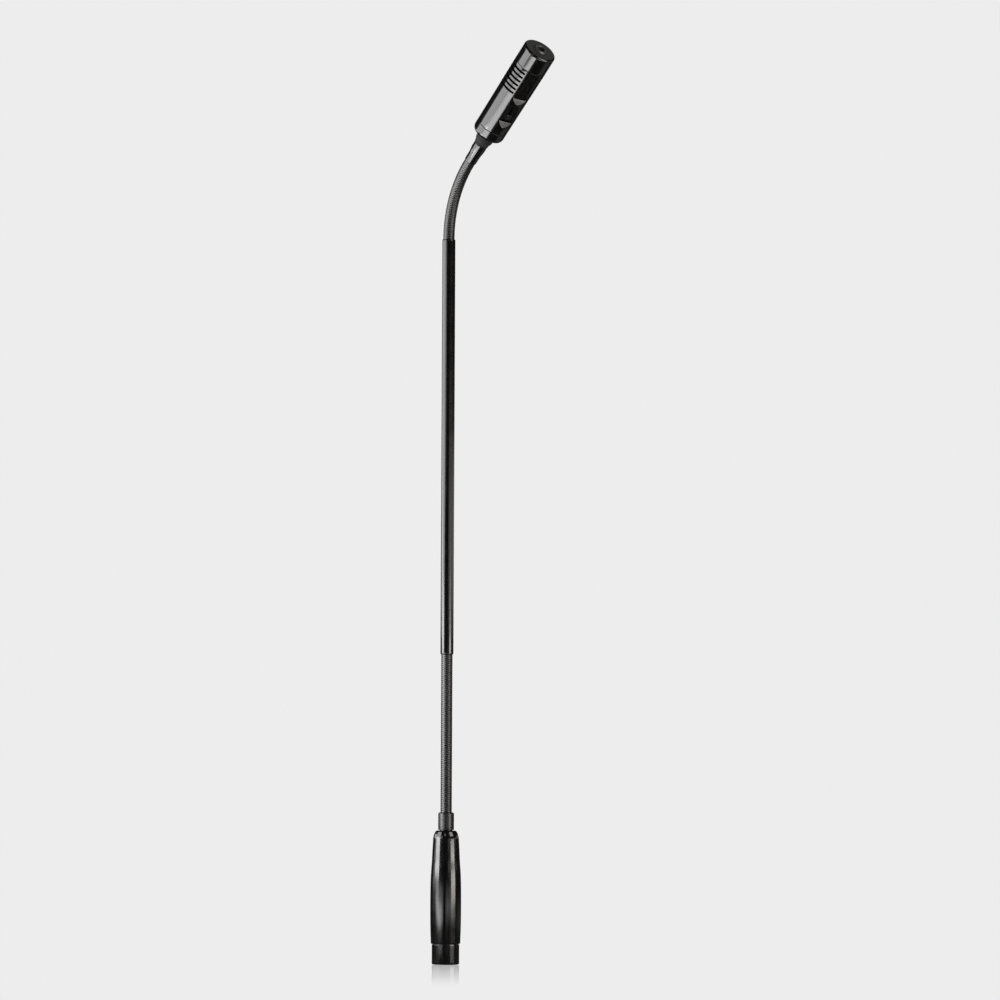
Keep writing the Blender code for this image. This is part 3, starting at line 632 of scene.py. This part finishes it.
def plug_shell():
    _, top, radius = upright("xlr_shell")
    nose, bore, sleeve = 13.8, 8.1, 8.6
    corners = [
        (bore, 0, 0.2), (radius - 0.45, 0, 0.3), (radius, 0.5, 0.3),
        (radius, nose, 0.12), (sleeve, nose, 0), (sleeve, top, 0.1),
        (bore, top, 0.1),
    ]
    shell = turned("plug_shell", corners, 128, COAT)
    carve(shell, [screw_cutter(4.0)], ROW)
    seat(shell, "base", "barrel_metal", "xlr_shell")


def pin_axes():
    """The three pins' places across the plug and their heights, in mm."""
    for number in (1, 2, 3):
        low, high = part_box(f"xlr_pin_{number}")
        middle = (low + high) / 2 / MM
        yield number, middle.x, middle.y, low.z / MM, high.z / MM


def plug_insert():
    """The insert with a raised land round each pin and a shallow key beside them."""
    low, high, radius = upright("xlr_insert")
    land = radius - 0.6
    corners = [
        (0, low, 0), (land, low, 0.25), (land, low + 0.8, 0.1),
        (radius, low + 0.8, 0.2), (radius, high, 0.3), (0, high, 0),
    ]
    insert = turned("plug_insert", corners, 96, PLASTIC)
    cutters = []
    for number, x, y, _, _ in pin_axes():
        bm = bmesh.new()
        outline = ((0, low - 1), (1.75, low - 1), (1.75, low + 0.5), (1.4, low + 0.5), (1.4, high + 1),
                   (0, high + 1))
        spin(bm, [(*point, 0) for point in outline], 32)
        cutters.append(finish_mesh(f"pin_cutter_{number}", bm, [PLASTIC], Matrix.Translation((x, y, 0))))
    key = bmesh.new()
    add_block(key, (-0.8, 4.6, low - 1), (0.8, 9.0, low + 1.2))
    cutters.append(finish_mesh("key_cutter", key, [PLASTIC]))
    carve(insert, cutters, ROW)
    seat(insert, "base", "black_plastic", "xlr_insert")


def plug_pins():
    """Round-nosed pins, each with a groove and a hollow solder cup at the back."""
    radius = 1.2
    for number, x, y, low, high in pin_axes():
        corners = [
            (0, low, 0), (radius * 0.75, low, 0.45), (radius, low + 1.1, 0.6),
            (radius, high - 4.2, 0.1), (radius * 0.82, high - 4.0, 0.1),
            (radius, high - 3.8, 0.1), (radius, high, 0.15),
            (radius * 0.6, high, 0.1), (radius * 0.6, high - 2.4, 0),
            (0, high - 2.4, 0),
        ]
        pin = turned(f"plug_pin_{number}", corners, 48, NICKEL, ROW @ Matrix.Translation((x, y, 0)))
        seat(pin, "base", "nickel", f"xlr_pin_{number}")


def lock_screw():
    """A grub screw along +Y with a hexagon socket in its outer end."""
    low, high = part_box("insert_lock_screw")
    radius = (high.x - low.x) / 2 / MM
    length = (high.y - low.y) / MM
    centre = Matrix.Translation(Vector((0, low.y, (low.z + high.z) / 2)))
    matrix = centre @ Matrix.Rotation(-pi / 2, 4, "X") @ ROW
    point = [(0, 0, 0), (radius - 0.35, 0, 0.1), (radius, 0.35, 0.1)]
    screw = turned("grub_screw", [*point, (radius, length, 0.15), (0, length, 0)], 48, NICKEL)
    bm = bmesh.new()
    bmesh.ops.create_cone(bm, cap_ends=True, segments=6, radius1=0.72, radius2=0.72, depth=2.0,
                          matrix=Matrix.Translation((0, 0, length)))
    carve(screw, [finish_mesh("socket_cutter", bm, [NICKEL])], matrix)
    seat(screw, "base", "nickel", "insert_lock_screw")


def ferrule():
    low, high, radius = upright("neck_ferrule")
    flange = upright("barrel")[1] + 0.3
    socket = 96.0
    corners = [
        (1.4, low, 0), (4.2, low, 0.3), (4.2, flange, 0),
        (radius - 0.25, flange, 0.15), (radius, flange + 0.3, 0.15),
        (radius, flange + 1.2, 0.05), (radius - 0.08, flange + 1.3, 0.05),
        (radius - 0.08, flange + 1.6, 0.05), (radius, flange + 1.7, 0.05),
        (radius, high - 0.8, 0.4), (radius - 0.55, high, 0.3), (4.12, high, 0.15),
        (4.12, socket, 0), (1.4, socket, 0),
    ]
    seat(turned("ferrule", corners, 96, FERRULE_COAT, ROW), "base", "barrel_metal", "neck_ferrule")


# ---- wound necks

HOSE_RADIUS = 3.9
WIRE_LEAD = 1.3  # distance between two crowns of the winding
WIRE_DEPTH = 0.07
RINGS_PER_LEAD = 9
NECK_SIDES = 56
BACK = Vector((0, 1, 0))


class NeckPath:
    """The centre line of a neck: a straight start going up, then an even bend in the YZ plane."""

    def __init__(self, prefix):
        first, second, third = (joint_place(f"{prefix}_{name}") for name in ("pitch", "side", "pitch_2"))
        chord = (second - first).length / MM
        turn = (second - first).angle(third - second)
        self.bend = 0.0 if turn < 1e-4 else 2 * tan(turn / 2) / chord
        self.pitch = chord if self.bend == 0 else turn / self.bend
        self.start = first - UP * (chord / 2 * MM)

    def at(self, length):
        """The point at a length in mm along the path, and the way to the path's back."""
        if self.bend == 0 or length <= 0:
            return self.start + UP * length * MM, BACK
        angle = length * self.bend
        radius = MM / self.bend
        back = Vector((0, cos(angle), sin(angle)))
        return self.start + (back - BACK) * radius, back


def winding(name, path, low, high):
    """One stretch of the wound hose between two lengths, with a helical groove that runs on into the
    next stretch."""
    bm = bmesh.new()
    wear = bm.verts.layers.float.new("crown")
    count = max(2, round((high - low) / WIRE_LEAD * RINGS_PER_LEAD))
    rings = []
    side_axis = Vector((1, 0, 0))
    for number in range(count + 1):
        length = low + (high - low) * number / count
        centre, back = path.at(length)
        ring = []
        for side in range(NECK_SIDES):
            angle = TAU * side / NECK_SIDES
            turn = length / WIRE_LEAD - side / NECK_SIDES
            groove = cos(pi * turn) ** 4
            out = side_axis * cos(angle) + back * sin(angle)
            vertex = bm.verts.new(centre + out * (HOSE_RADIUS - WIRE_DEPTH * groove) * MM)
            # The crown attribute is 1 on a crown, where the wire's material rubs bright, and 0 in a
            # groove, where it paints shade.
            vertex[wear] = 1 - groove
            ring.append(vertex)
        rings.append(ring)
    skin(bm, rings)
    return finish_mesh(name, bm, [WOUND], sharp=60)


def neck(prefix, into_start, into_end):
    """Eight stretches, one across each hinge, from the middle of one link to the middle of the next. The
    hose runs on into the pieces at its ends."""
    path = NeckPath(prefix)
    nodes = [f"{prefix}_flex_base", *[f"{prefix}_flex_link_{number}" for number in range(1, 8)]]
    for number, node in enumerate(nodes):
        low = number * path.pitch
        high = low + path.pitch
        reach_low = low - into_start if number == 0 else low
        reach_high = high + into_end if number == 7 else high
        stretch = winding(f"{prefix}_hose_{number + 1}", path, reach_low, reach_high)
        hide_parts(node)
        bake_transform(stretch)
    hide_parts(f"{prefix}_flex_tip")


# ---- stem


def stem():
    low, high, radius = upright("stem_tube")
    bore = 3.95
    corners = [
        (bore, low, 0), (radius - 0.35, low, 0.2), (radius, low + 0.5, 0.3),
        (radius, high - 0.5, 0.3), (radius - 0.35, high, 0.2), (bore, high, 0),
    ]
    seat(turned("stem", corners, 96, STEM_COAT, ROW), "stem", "stem_metal", "stem_tube")


# ---- head


def boot():
    low, high, _ = along_head("neck_boot")
    corners = [
        (4.0, low, 0.1), (4.15, low, 0.12), (4.3, low + 0.6, 0.3),
        (4.3, low + 6.5, 2.0), (4.9, high - 5.0, 2.0), (4.9, high, 0.15),
        (2.6, high, 0), (2.6, low + 2.0, 0), (4.0, low + 2.0, 0),
    ]
    seat(turned("boot", corners, 96, STEM_COAT, HEAD), "head", "head_metal", "neck_boot")


def collar():
    """The rubber bell: a shallow waist between two soft rims, and two fine grooves round its neck."""
    low, high, radius = along_head("shock_collar")
    face = -0.3
    corners = [
        (2.6, low, 0), (5.0, low, 0.2), (5.25, low + 0.4, 0.25),
        (5.25, low + 1.2, 0.2), (4.95, low + 1.45, 0.15), (5.3, low + 1.75, 0.2),
        (5.95, low + 2.9, 1.2), (radius, low + 4.2, 1.0),
        (radius - 0.12, face - 2.2, 1.6), (radius, face - 0.25, 0.25),
        (radius - 0.3, face, 0.2), (4.2, face, 0), (4.2, high, 0.2),
        (2.6, high, 0.1),
    ]
    seat(turned("bell", corners, 96, RUBBER, HEAD), "head", "black_rubber", "shock_collar")


HEAD_BORE = 9.7
CAP_SLEEVE = 9.4
CAP_BORE = 8.6


def base_cap():
    low, high, radius = along_head("head_base_cap")
    seam = along_head("head_housing")[0] - 0.3
    corners = [
        (4.5, low, 0.25), (radius - 1.9, low, 0.6), (radius - 0.75, low + 0.6, 0.9),
        (radius, low + 2.3, 1.2), (radius, seam, 0.14), (CAP_SLEEVE, seam, 0),
        (CAP_SLEEVE, high, 0.2), (CAP_BORE, high, 0.1), (CAP_BORE, 4.2, 0),
        (2.6, 4.2, 0), (2.6, 3.3, 0), (4.5, 3.3, 0),
    ]
    seat(turned("base_cap", corners, 128, COAT, HEAD), "head", "head_metal", "head_base_cap")


HOUSING_SIDES = 180
SLOTS = 6
SLOT_FIRST = 42.8
SLOT_PITCH = 3.36
SLOT_HALF_HEIGHT = 0.7
SLOT_HALF_ANGLE = radians(55.0)
OPENING_HALF_WIDTH = 5.2
WINDOW = (39.5, 62.0)
POCKET = (19.4, 33.9)
WINDOW_RAMP = 34.7
POCKET_RAMP = 13.8
RAMP_LIP = 10.25  # how far from the axis a ramp ends
EDGE_BREAK = 0.16


def half_heights(half_width, half_height, corner):
    """A round-cornered rectangle as (x, half height at x) stations, from one end to the other."""
    steps = 6
    longest = 0.45
    inner, straight = half_width - corner, half_height - corner
    quarter = []
    for step in range(steps):
        angle = pi / 2 * step / steps
        quarter.append((inner + corner * cos(angle), straight + corner * sin(angle)))
    count = ceil(2 * inner / longest)
    middle = [(inner - 2 * inner * step / count, half_height) for step in range(count + 1)]
    return quarter + middle + [(-x, height) for x, height in reversed(quarter)]


def wall_cutter(name, heading, middle, half_arc, half_height, corner, radius, inner):
    """Cuts a round-cornered opening through the head's wall and breaks its outer edge. It reaches
    half_arc mm along the wall either side of its heading, which is an angle about the axis."""
    stations = half_heights(half_arc, half_height, corner)
    levels = (
        (inner, 0.0), (radius - EDGE_BREAK, 0.0),
        (radius + EDGE_BREAK / 2, EDGE_BREAK * 1.5),
        (radius + 2.0, EDGE_BREAK * 1.5),
    )
    bm = bmesh.new()
    sheets = []
    for level, grow in levels:
        sheet = []
        for side in (1, -1):
            line = []
            for x, height in stations:
                angle = heading + x * (1 + grow / half_arc) / radius
                z = middle + side * height * (1 + grow / half_height)
                line.append(bm.verts.new((level * cos(angle), level * sin(angle), z)))
            sheet.append(line)
        sheets.append(sheet)
    strip(bm, *sheets[0])
    strip(bm, *sheets[-1])
    for (top, bottom), (next_top, next_bottom) in zip(sheets, sheets[1:]):
        strip(bm, top, next_top)
        strip(bm, bottom, next_bottom)
        for end in (0, -1):
            bm.faces.new((top[end], bottom[end], next_bottom[end], next_top[end]))
    return finish_mesh(name, bm, [CUT_COAT])


def ramp_cutter(name, low, high, radius):
    """A scooped ramp that runs from the wall's surface down to an opening's lower end. Its faces carry
    the ramps' painted highlight.
    """
    steps = 10
    surface = radius + 0.05
    bm = bmesh.new()
    rings = []
    for number in range(steps + 1):
        t = number / steps
        height = low + (high - low) * t
        depth = surface - (surface - RAMP_LIP) * (t * t * (1.6 - 0.6 * t))
        half = OPENING_HALF_WIDTH * (0.86 + 0.14 * sqrt(t))
        ring = []
        for x, y in (
            (-half, -radius - 2),
            (-half, -depth - 0.35),
            (-half + 0.35, -depth),
            (half - 0.35, -depth),
            (half, -depth - 0.35),
            (half, -radius - 2),
        ):
            ring.append(bm.verts.new((x, y, height)))
        rings.append(ring)
    last = [vertex.co.copy() for vertex in rings[-1]]
    rings.append([bm.verts.new((co.x, co.y, high + 0.6)) for co in last])
    skin(bm, rings)
    return finish_mesh(name, bm, [RAMP_HIGHLIGHT_COAT])


def housing():
    """The tapered tube with six slots on either side, the window and the pocket with its ramps."""
    low, high, radius = along_head("head_housing")
    foot = along_head("head_base_cap")[2]

    def wall(height):
        return foot + (radius - foot) * (height - low) / (high - low)

    corners = [(HEAD_BORE, low, 0), (foot, low, 0.14), (radius, high, 0.14), (HEAD_BORE, high, 0)]
    bm = bmesh.new()
    spin(bm, rounded(corners, True, 3), HOUSING_SIDES)
    turn = Matrix.Rotation(TAU / HOUSING_SIDES * 0.4, 4, "Z")  # keeps edges out of the cutters' planes
    # The third material is the ramps' painted highlight, which the ramp cutters carry onto them.
    tube = finish_mesh("housing", bm, [COAT, CUT_COAT, RAMP_HIGHLIGHT_COAT], turn)
    cutters = []
    half_arc = SLOT_HALF_ANGLE * radius
    for number in range(SLOTS):
        middle = SLOT_FIRST + number * SLOT_PITCH
        for side, heading in (("right", 0.0), ("left", pi)):
            name = f"slot_cutter_{side}_{number}"
            size = (half_arc, SLOT_HALF_HEIGHT)
            cutters.append(wall_cutter(name, heading, middle, *size, 0.6, wall(middle), 7.0))
    for name, (start, end), ramp in (("window", WINDOW, WINDOW_RAMP), ("pocket", POCKET, POCKET_RAMP)):
        middle = (start + end) / 2
        around = wall(middle)
        size = (asin(OPENING_HALF_WIDTH / around) * around, (end - start) / 2)
        cutters += [
            wall_cutter(f"{name}_cutter", -pi / 2, middle, *size, 1.0, around, 6.0),
            ramp_cutter(f"{name}_ramp_cutter", ramp, start, wall(ramp)),
        ]
    carve(tube, cutters, HEAD)
    seat(tube, "head", "head_metal", "head_housing")


def window_grille():
    """Woven wire on a curved panel behind the window, in a narrow frame."""
    low, high, outer = along_head("window_grille")
    radius = outer - 0.25
    wire_radius = 0.11
    frame_radius = 0.22
    edge = asin((OPENING_HALF_WIDTH - 0.35) / outer)
    across, up = 17, 38
    fine = 4  # steps of a wire between two crossings
    bars = 14
    swing = wire_radius * 0.95
    bottom, rise = low + 0.3, high - low - 0.6
    bm = bmesh.new()

    def outward(turn):
        return Vector((sin(turn), -cos(turn), 0))

    def place(turn, height, lift=0.0):
        return outward(turn) * (radius + lift) + UP * height

    for column in range(across):
        turn = edge * (2 * (column + 0.5) / across - 1)
        path = []
        for step in range(up * fine + 1):
            t = step / fine
            path.append(place(turn, bottom + rise * t / up, swing * cos(pi * (t + column))))
        wire(bm, path, [outward(turn)] * len(path), wire_radius)
    for row in range(up):
        height = bottom + rise * (row + 0.5) / up
        side = -1 if row % 2 == 0 else 1
        path, normals = [], []
        for step in range(across * fine + 1):
            t = step / fine
            turn = edge * (2 * t / across - 1)
            path.append(place(turn, height, side * swing * sin(pi * t)))
            normals.append(outward(turn))
        wire(bm, path, normals, wire_radius)
    for height in (low + 0.2, high - 0.2):
        turns = [edge * (2 * step / bars - 1) for step in range(bars + 1)]
        path = [place(turn, height) for turn in turns]
        wire(bm, path, [outward(turn) for turn in turns], frame_radius, 8)
    for turn in (-edge, edge):
        path = [place(turn, low + 0.2), place(turn, high - 0.2)]
        wire(bm, path, [outward(turn)] * 2, frame_radius, 8)
    grille = finish_mesh("woven_window", bm, [MESH_WIRE], HEAD, sharp=70)
    seat(grille, "head", "wire_mesh", "window_grille")


def front_cap():
    """The cap that closes the front, with a coarser coating on its flat face."""
    low, high, radius = along_head("front_cap")
    seam = along_head("head_housing")[1] + 0.3
    corners = [
        (CAP_BORE, low, 0), (CAP_SLEEVE, low, 0.15), (CAP_SLEEVE, seam, 0),
        (radius, seam, 0.14), (radius, high - 1.2, 0.7),
        (radius - 0.45, high - 0.4, 0.35), (radius - 1.25, high, 0.5),
        (4.0, high, 0), (4.0, high - 1.4, 0), (9.9, high - 1.4, 0),
        (9.9, seam + 1.2, 0), (CAP_BORE, seam + 1.2, 0),
    ]
    bm = bmesh.new()
    spin(bm, rounded(corners, True, 6), 128)
    for face in bm.faces:
        centre = face.calc_center_median()
        if centre.z > high - 0.1 and hypot(centre.x, centre.y) < radius - 1.0:
            face.material_index = 1
    cap = finish_mesh("cap", bm, [COAT, FACE_COAT], HEAD)
    seat(cap, "head", "head_metal", "front_cap")


def port_ring():
    low, high, radius = along_head("port_ring")
    face = along_head("front_cap")[1]
    corners = [
        (2.8, low, 0.1), (3.7, low, 0.1), (3.7, face - 0.05, 0),
        (radius, face - 0.05, 0.12), (radius, face + 0.25, 0.2),
        (radius - 1.1, high, 0.35), (3.15, high, 0.2), (2.8, high - 0.35, 0.15),
    ]
    # The ring's light colour is a painted highlight.
    seat(turned("sound_port_ring", corners, 96, RING_HIGHLIGHT_COAT, HEAD), "head", "head_metal", "port_ring")


def port_grille():
    """Fine woven wire across the sound port, clamped in a flat rim."""
    low, high, radius = along_head("front_grille")
    middle = (low + high) / 2
    reach = 3.6
    pitch = 0.5
    wire_radius = 0.1
    bm = bmesh.new()
    rim = [(reach, low, 0.1), (radius, low, 0.1), (radius, high, 0.1), (reach, high, 0.1)]
    spin(bm, rounded(rim, True, 2), 64)
    half = int(reach / pitch)
    for way, sign in ((0, 1), (1, -1)):
        for number in range(-half, half + 1):
            offset = number * pitch
            length = sqrt(reach**2 - offset**2) + 0.1
            count = max(4, int(2 * length / pitch) * 4)
            path = []
            for step in range(count + 1):
                t = -length + 2 * length * step / count
                lift = sign * wire_radius * cos(pi * (t / pitch + number))
                place = (offset, t) if way == 0 else (t, offset)
                path.append(Vector((*place, middle + lift)))
            wire(bm, path, [UP] * len(path), wire_radius)
    grille = finish_mesh("woven_port", bm, [STEEL_WIRE], HEAD, sharp=70)
    seat(grille, "head", "wire_mesh", "front_grille")


def liner():
    low, high, radius = along_head("screen_liner")
    inside = radius - 0.5
    corners = [(inside, low, 0.1), (radius, low, 0.1), (radius, high, 0.1), (inside, high, 0.1)]
    seat(turned("screen", corners, 96, SCREEN, HEAD), "head", "screen_cloth", "screen_liner")


SWITCH = (19.8, 33.6)
SWITCH_FACE = 9.2  # its distance from the head's axis
SWITCH_SLOT = (21.4, 32.0)
DETENTS = (23.7, 25.7, 27.7, 29.7)


def switch_body():
    """The switch's body with a slot for the slider and four shallow detent marks beside it."""
    bm = bmesh.new()
    add_block(bm, (-4.2, -SWITCH_FACE, SWITCH[0]), (4.2, -5.6, SWITCH[1]), 0.2, 3)
    body = finish_mesh("switch_body", bm, [PLASTIC])
    outside = -SWITCH_FACE - 1
    slot = bmesh.new()
    add_block(slot, (-0.9, outside, SWITCH_SLOT[0]), (0.9, -SWITCH_FACE + 2.0, SWITCH_SLOT[1]), 0.15, 2)
    cutters = [finish_mesh("slider_slot_cutter", slot, [PLASTIC])]
    for number, height in enumerate(DETENTS):
        mark = bmesh.new()
        add_block(mark, (2.5, outside, height - 0.15), (3.6, -SWITCH_FACE + 0.2, height + 0.15))
        cutters.append(finish_mesh(f"mark_cutter_{number}", mark, [PLASTIC]))
    carve(body, cutters, HEAD)
    seat(body, "head", "black_plastic", "pattern_switch_body")


def slider():
    """The slider's ribbed knob on its stem."""
    low, high, _ = along_head("pattern_slider")
    ribs = 5
    top, foot = 10.9, 9.5
    rib = (high - low) / ribs
    outline = [(-foot, low), (-top + 0.25, low)]
    for number in range(ribs):
        start = low + number * rib
        outline += [(-top, start + 0.12), (-top, start + rib - 0.3), (-top + 0.3, start + rib - 0.15)]
    outline[-1] = (-top + 0.25, high)
    outline.append((-foot, high))
    bm = bmesh.new()
    ends = [[bm.verts.new((x, y, z)) for y, z in outline] for x in (-2.0, 2.0)]
    bm.faces.new(ends[0])
    bm.faces.new(ends[1])
    for number in range(len(outline)):
        after = (number + 1) % len(outline)
        bm.faces.new((ends[0][number], ends[1][number], ends[1][after], ends[0][after]))
    bmesh.ops.bevel(bm, geom=list(bm.edges), offset=0.05, segments=2, profile=0.6, affect="EDGES")
    add_block(bm, (-0.6, -foot, low), (0.6, -7.5, high), 0.05)
    knob = finish_mesh("slider_knob", bm, [PLASTIC], HEAD)
    seat(knob, "switch_slider", "black_plastic", "pattern_slider")


# ---- inner pieces kept from the CAD

CAD_FINISHES = (
    (NICKEL, ("ferrule_lock_nut", "neck_nut", "stem_plug_lower", "stem_plug_upper")),
    (NICKEL, ("capsule_backplate",)),
    (ALUMINIUM, ("capsule_case",)),
    (FILM, ("capsule_diaphragm",)),
    (RUBBER, ("capsule_ring_1", "capsule_ring_2", "cable_grommet")),
    (FOAM, ("front_foam",)),
    (BOARD, ("preamp_board", "pattern_board")),
    (BLUE, ("coupling_capacitor_1", "coupling_capacitor_2")),
    (OCHRE, ("film_capacitor",)),
    (PLASTIC, ("output_transistor",)),
    (JACKET, ("base_cable", "stem_cable", "head_cable")),
)


def finish_cad_nodes():
    for material, nodes in CAD_FINISHES:
        for node in nodes:
            thing = frame["nodes"][node]
            if not thing.material_slots:
                thing.data.materials.append(material)
            for place in thing.material_slots:
                place.material = material


# ---- studio

CAMERA_AZIMUTH = -45.0
CAMERA_DISTANCE = 8.0
CAMERA_HEIGHT = 0.3197
CAMERA_ASIDE = 0.0360  # how far right of the stem the picture's middle is
CAMERA_ROLL = radians(0.28)
VIEW_WIDTH = 0.688  # what the picture shows at the stem's distance


def facing(azimuth):
    """The way from the object towards the camera, turned by an azimuth, and the way to its right."""
    turn = radians(CAMERA_AZIMUTH + azimuth)
    return Vector((sin(turn), -cos(turn), 0)), Vector((cos(turn), sin(turn), 0))


def camera():
    towards, right = facing(0)
    data = bpy.data.cameras.new("camera")
    data.sensor_width = 36.0
    data.lens = data.sensor_width * CAMERA_DISTANCE / VIEW_WIDTH
    thing = bpy.data.objects.new("camera", data)
    aim = right * CAMERA_ASIDE + UP * CAMERA_HEIGHT
    thing.location = aim + towards * CAMERA_DISTANCE
    level = (-towards).to_track_quat("-Z", "Y").to_matrix().to_4x4()
    thing.rotation_euler = (level @ Matrix.Rotation(CAMERA_ROLL, 4, "Z")).to_euler()
    bpy.context.collection.objects.link(thing)
    bpy.context.scene.camera = thing


WARM = (1.0, 0.955, 0.90)


def light(name, middle, ahead, across, size, radiance, colour=(1, 1, 1)):
    """A rectangular area light of a given brightness that shines ahead, hidden from the camera."""
    data = bpy.data.lights.new(name, "AREA")
    data.shape = "RECTANGLE"
    data.size, data.size_y = size
    data.energy = pi * size[0] * size[1] * radiance
    data.color = colour
    thing = bpy.data.objects.new(name, data)
    turn = Matrix((across, across.cross(ahead), -ahead)).transposed().to_4x4()
    thing.matrix_world = Matrix.Translation(middle) @ turn
    thing.visible_camera = False
    bpy.context.collection.objects.link(thing)


def panel(name, azimuth, distance, half_angle, low, high, radiance, colour=(1, 1, 1)):
    """An upright softbox between two heights, at an azimuth from the camera (positive to the right). It
    faces the stem, and half_angle is half its width as seen from there."""
    towards, right = facing(azimuth)
    width = 2 * distance * tan(radians(half_angle))
    middle = towards * distance + UP * (low + high) / 2
    light(name, middle, -towards, right, (width, high - low), radiance, colour)


def bounce(name, right_range, towards_range, radiance):
    """Light off a stretch of floor, given as distances right of the object and towards the camera."""
    towards, right = facing(0)
    middle = right * sum(right_range) / 2 + towards * sum(towards_range) / 2 + UP * 0.002
    size = (right_range[1] - right_range[0], towards_range[1] - towards_range[0])
    light(name, middle, UP, right, size, radiance)


def overhead(name, azimuth, distance, above_head, size, radiance):
    """A softbox above the head's height, aimed at the head."""
    towards, right = facing(azimuth)
    middle = towards * distance + UP * (HEAD.translation.z + above_head)
    ahead = (UP * HEAD.translation.z - middle).normalized()
    light(name, middle, ahead, right, (size, size), radiance)


BACKGROUND = 0.847
AMBIENT = 0.028
PATCH = (0.93, 0.97)  # cosines of the angles where the pale patch ends and where it is full


def world():
    """A pale background for the camera and the floor's mirror. Everything else sees a dim room with a
    pale patch behind the object."""
    towards, _ = facing(0)
    made = bpy.data.worlds.new("studio")
    made.use_nodes = True
    tree = Nodes(made.node_tree)
    way = tree.node("ShaderNodeVectorMath", operation="DOT_PRODUCT")
    way.inputs[1].default_value = (-towards + UP * 0.05).normalized()
    tree.links.new(tree.node("ShaderNodeTexCoord").outputs["Generated"], way.inputs[0])
    room = tree.nodes["Background"]
    patch = tree.ramp(way.outputs["Value"], *PATCH, AMBIENT, BACKGROUND)
    tree.links.new(patch, room.inputs["Color"])
    pale = tree.node("ShaderNodeBackground")
    pale.inputs["Color"].default_value = (BACKGROUND, BACKGROUND, BACKGROUND, 1)
    rays = tree.node("ShaderNodeLightPath").outputs
    either = tree.math("MAXIMUM", rays["Is Camera Ray"], rays["Is Singular Ray"])
    tree.mix_shaders(either, room.outputs[0], pale.outputs[0], "World Output")
    bpy.context.scene.world = made


FLOOR_MIRROR = 0.52
FLOOR_SEEN = 0.12  # how much of the polish the object itself mirrors


def floor():
    """A plain pale floor of one tone with the background, polished where the object stands. It mirrors
    the object and not the lamps."""
    bm = bmesh.new()
    bmesh.ops.create_circle(bm, cap_ends=True, segments=96, radius=1.5)
    mesh = bpy.data.meshes.new("floor")
    bm.to_mesh(mesh)
    bm.free()
    thing = bpy.data.objects.new("floor", mesh)
    thing.location.z = -0.0002
    bpy.context.collection.objects.link(thing)
    tree = Tree("floor_sweep")
    radial = tree.node("ShaderNodeTexGradient", gradient_type="SPHERICAL")
    tree.links.new(tree.place, radial.inputs["Vector"])
    direct = tree.node("ShaderNodeLightPath").outputs["Is Camera Ray"]
    seen = tree.ramp(direct, 0.0, 1.0, FLOOR_SEEN, 1.0)
    polish = tree.ramp(radial.outputs["Fac"], 0.66, 1.0, 0.0, FLOOR_MIRROR)
    clear = tree.node("ShaderNodeBsdfTransparent")
    gloss = tree.node("ShaderNodeBsdfGlossy")
    gloss.inputs["Color"].default_value = (1, 1, 1, 1)
    gloss.inputs["Roughness"].default_value = 0.0
    strength = tree.math("MULTIPLY", polish, seen)
    tree.mix_shaders(strength, clear.outputs[0], gloss.outputs[0], "Material Output")
    mesh.materials.append(tree.material)
    unlit = bpy.data.collections.new("unlit")
    unlit.objects.link(thing)
    unlit.collection_objects[0].light_linking.link_state = "EXCLUDE"
    for lamp in bpy.data.objects:
        if lamp.type == "LIGHT":
            lamp.light_linking.receiver_collection = unlit


def studio():
    """Camera, background, lights and floor. The tall keys make the left highlights, the low and warm
    lights the right ones, and the bounces light the head's underside."""
    camera()
    world()
    panel("key", -73, 0.6, 18, 0.085, 0.25, 4.3)
    panel("key_top", -77, 1.5, 22, 0.14, 1.6, 3.2)
    panel("key_side", -106, 1.4, 15, 0.22, 0.31, 4.2)
    panel("key_wing", -113, 1.4, 15, 0.31, 0.62, 3.0)
    panel("key_edge", -45, 1.5, 11, 0.33, 0.8, 1.1)
    panel("key_foot", -84, 1.5, 30, 0.03, 0.14, 1.0)
    panel("low_right", 58, 1.5, 17, 0.0, 0.21, 5.0, WARM)
    panel("side_right", 58, 1.5, 40, 0.22, 0.36, 0.7, WARM)
    panel("side_wing", 120, 1.3, 24, 0.23, 0.36, 0.8, WARM)
    panel("high_right", 58, 1.5, 17, 0.75, 1.9, 3.0, WARM)
    bounce("floor_left", (-1.75, -0.22), (0.22, 0.75), 5.2)
    bounce("floor_front", (0.0, 1.3), (0.6, 1.4), 1.6)
    bounce("floor_right", (0.3, 1.0), (-0.6, 0.0), 0.15)
    overhead("back_top", 150, 0.9, 1.0, 0.8, 0.27)
    overhead("front_top", -10, 1.8, 0.85, 0.55, 1.0)
    floor()
    scene = bpy.context.scene
    scene.view_settings.view_transform = "Standard"
    scene.view_settings.look = "None"


studio()
barrel()
plug_shell()
plug_insert()
plug_pins()
lock_screw()
ferrule()
neck("lower", into_start=6.0, into_end=1.0)
stem()
neck("upper", into_start=1.0, into_end=1.4)
boot()
collar()
base_cap()
housing()
window_grille()
liner()
front_cap()
port_ring()
port_grille()
switch_body()
slider()
finish_cad_nodes()
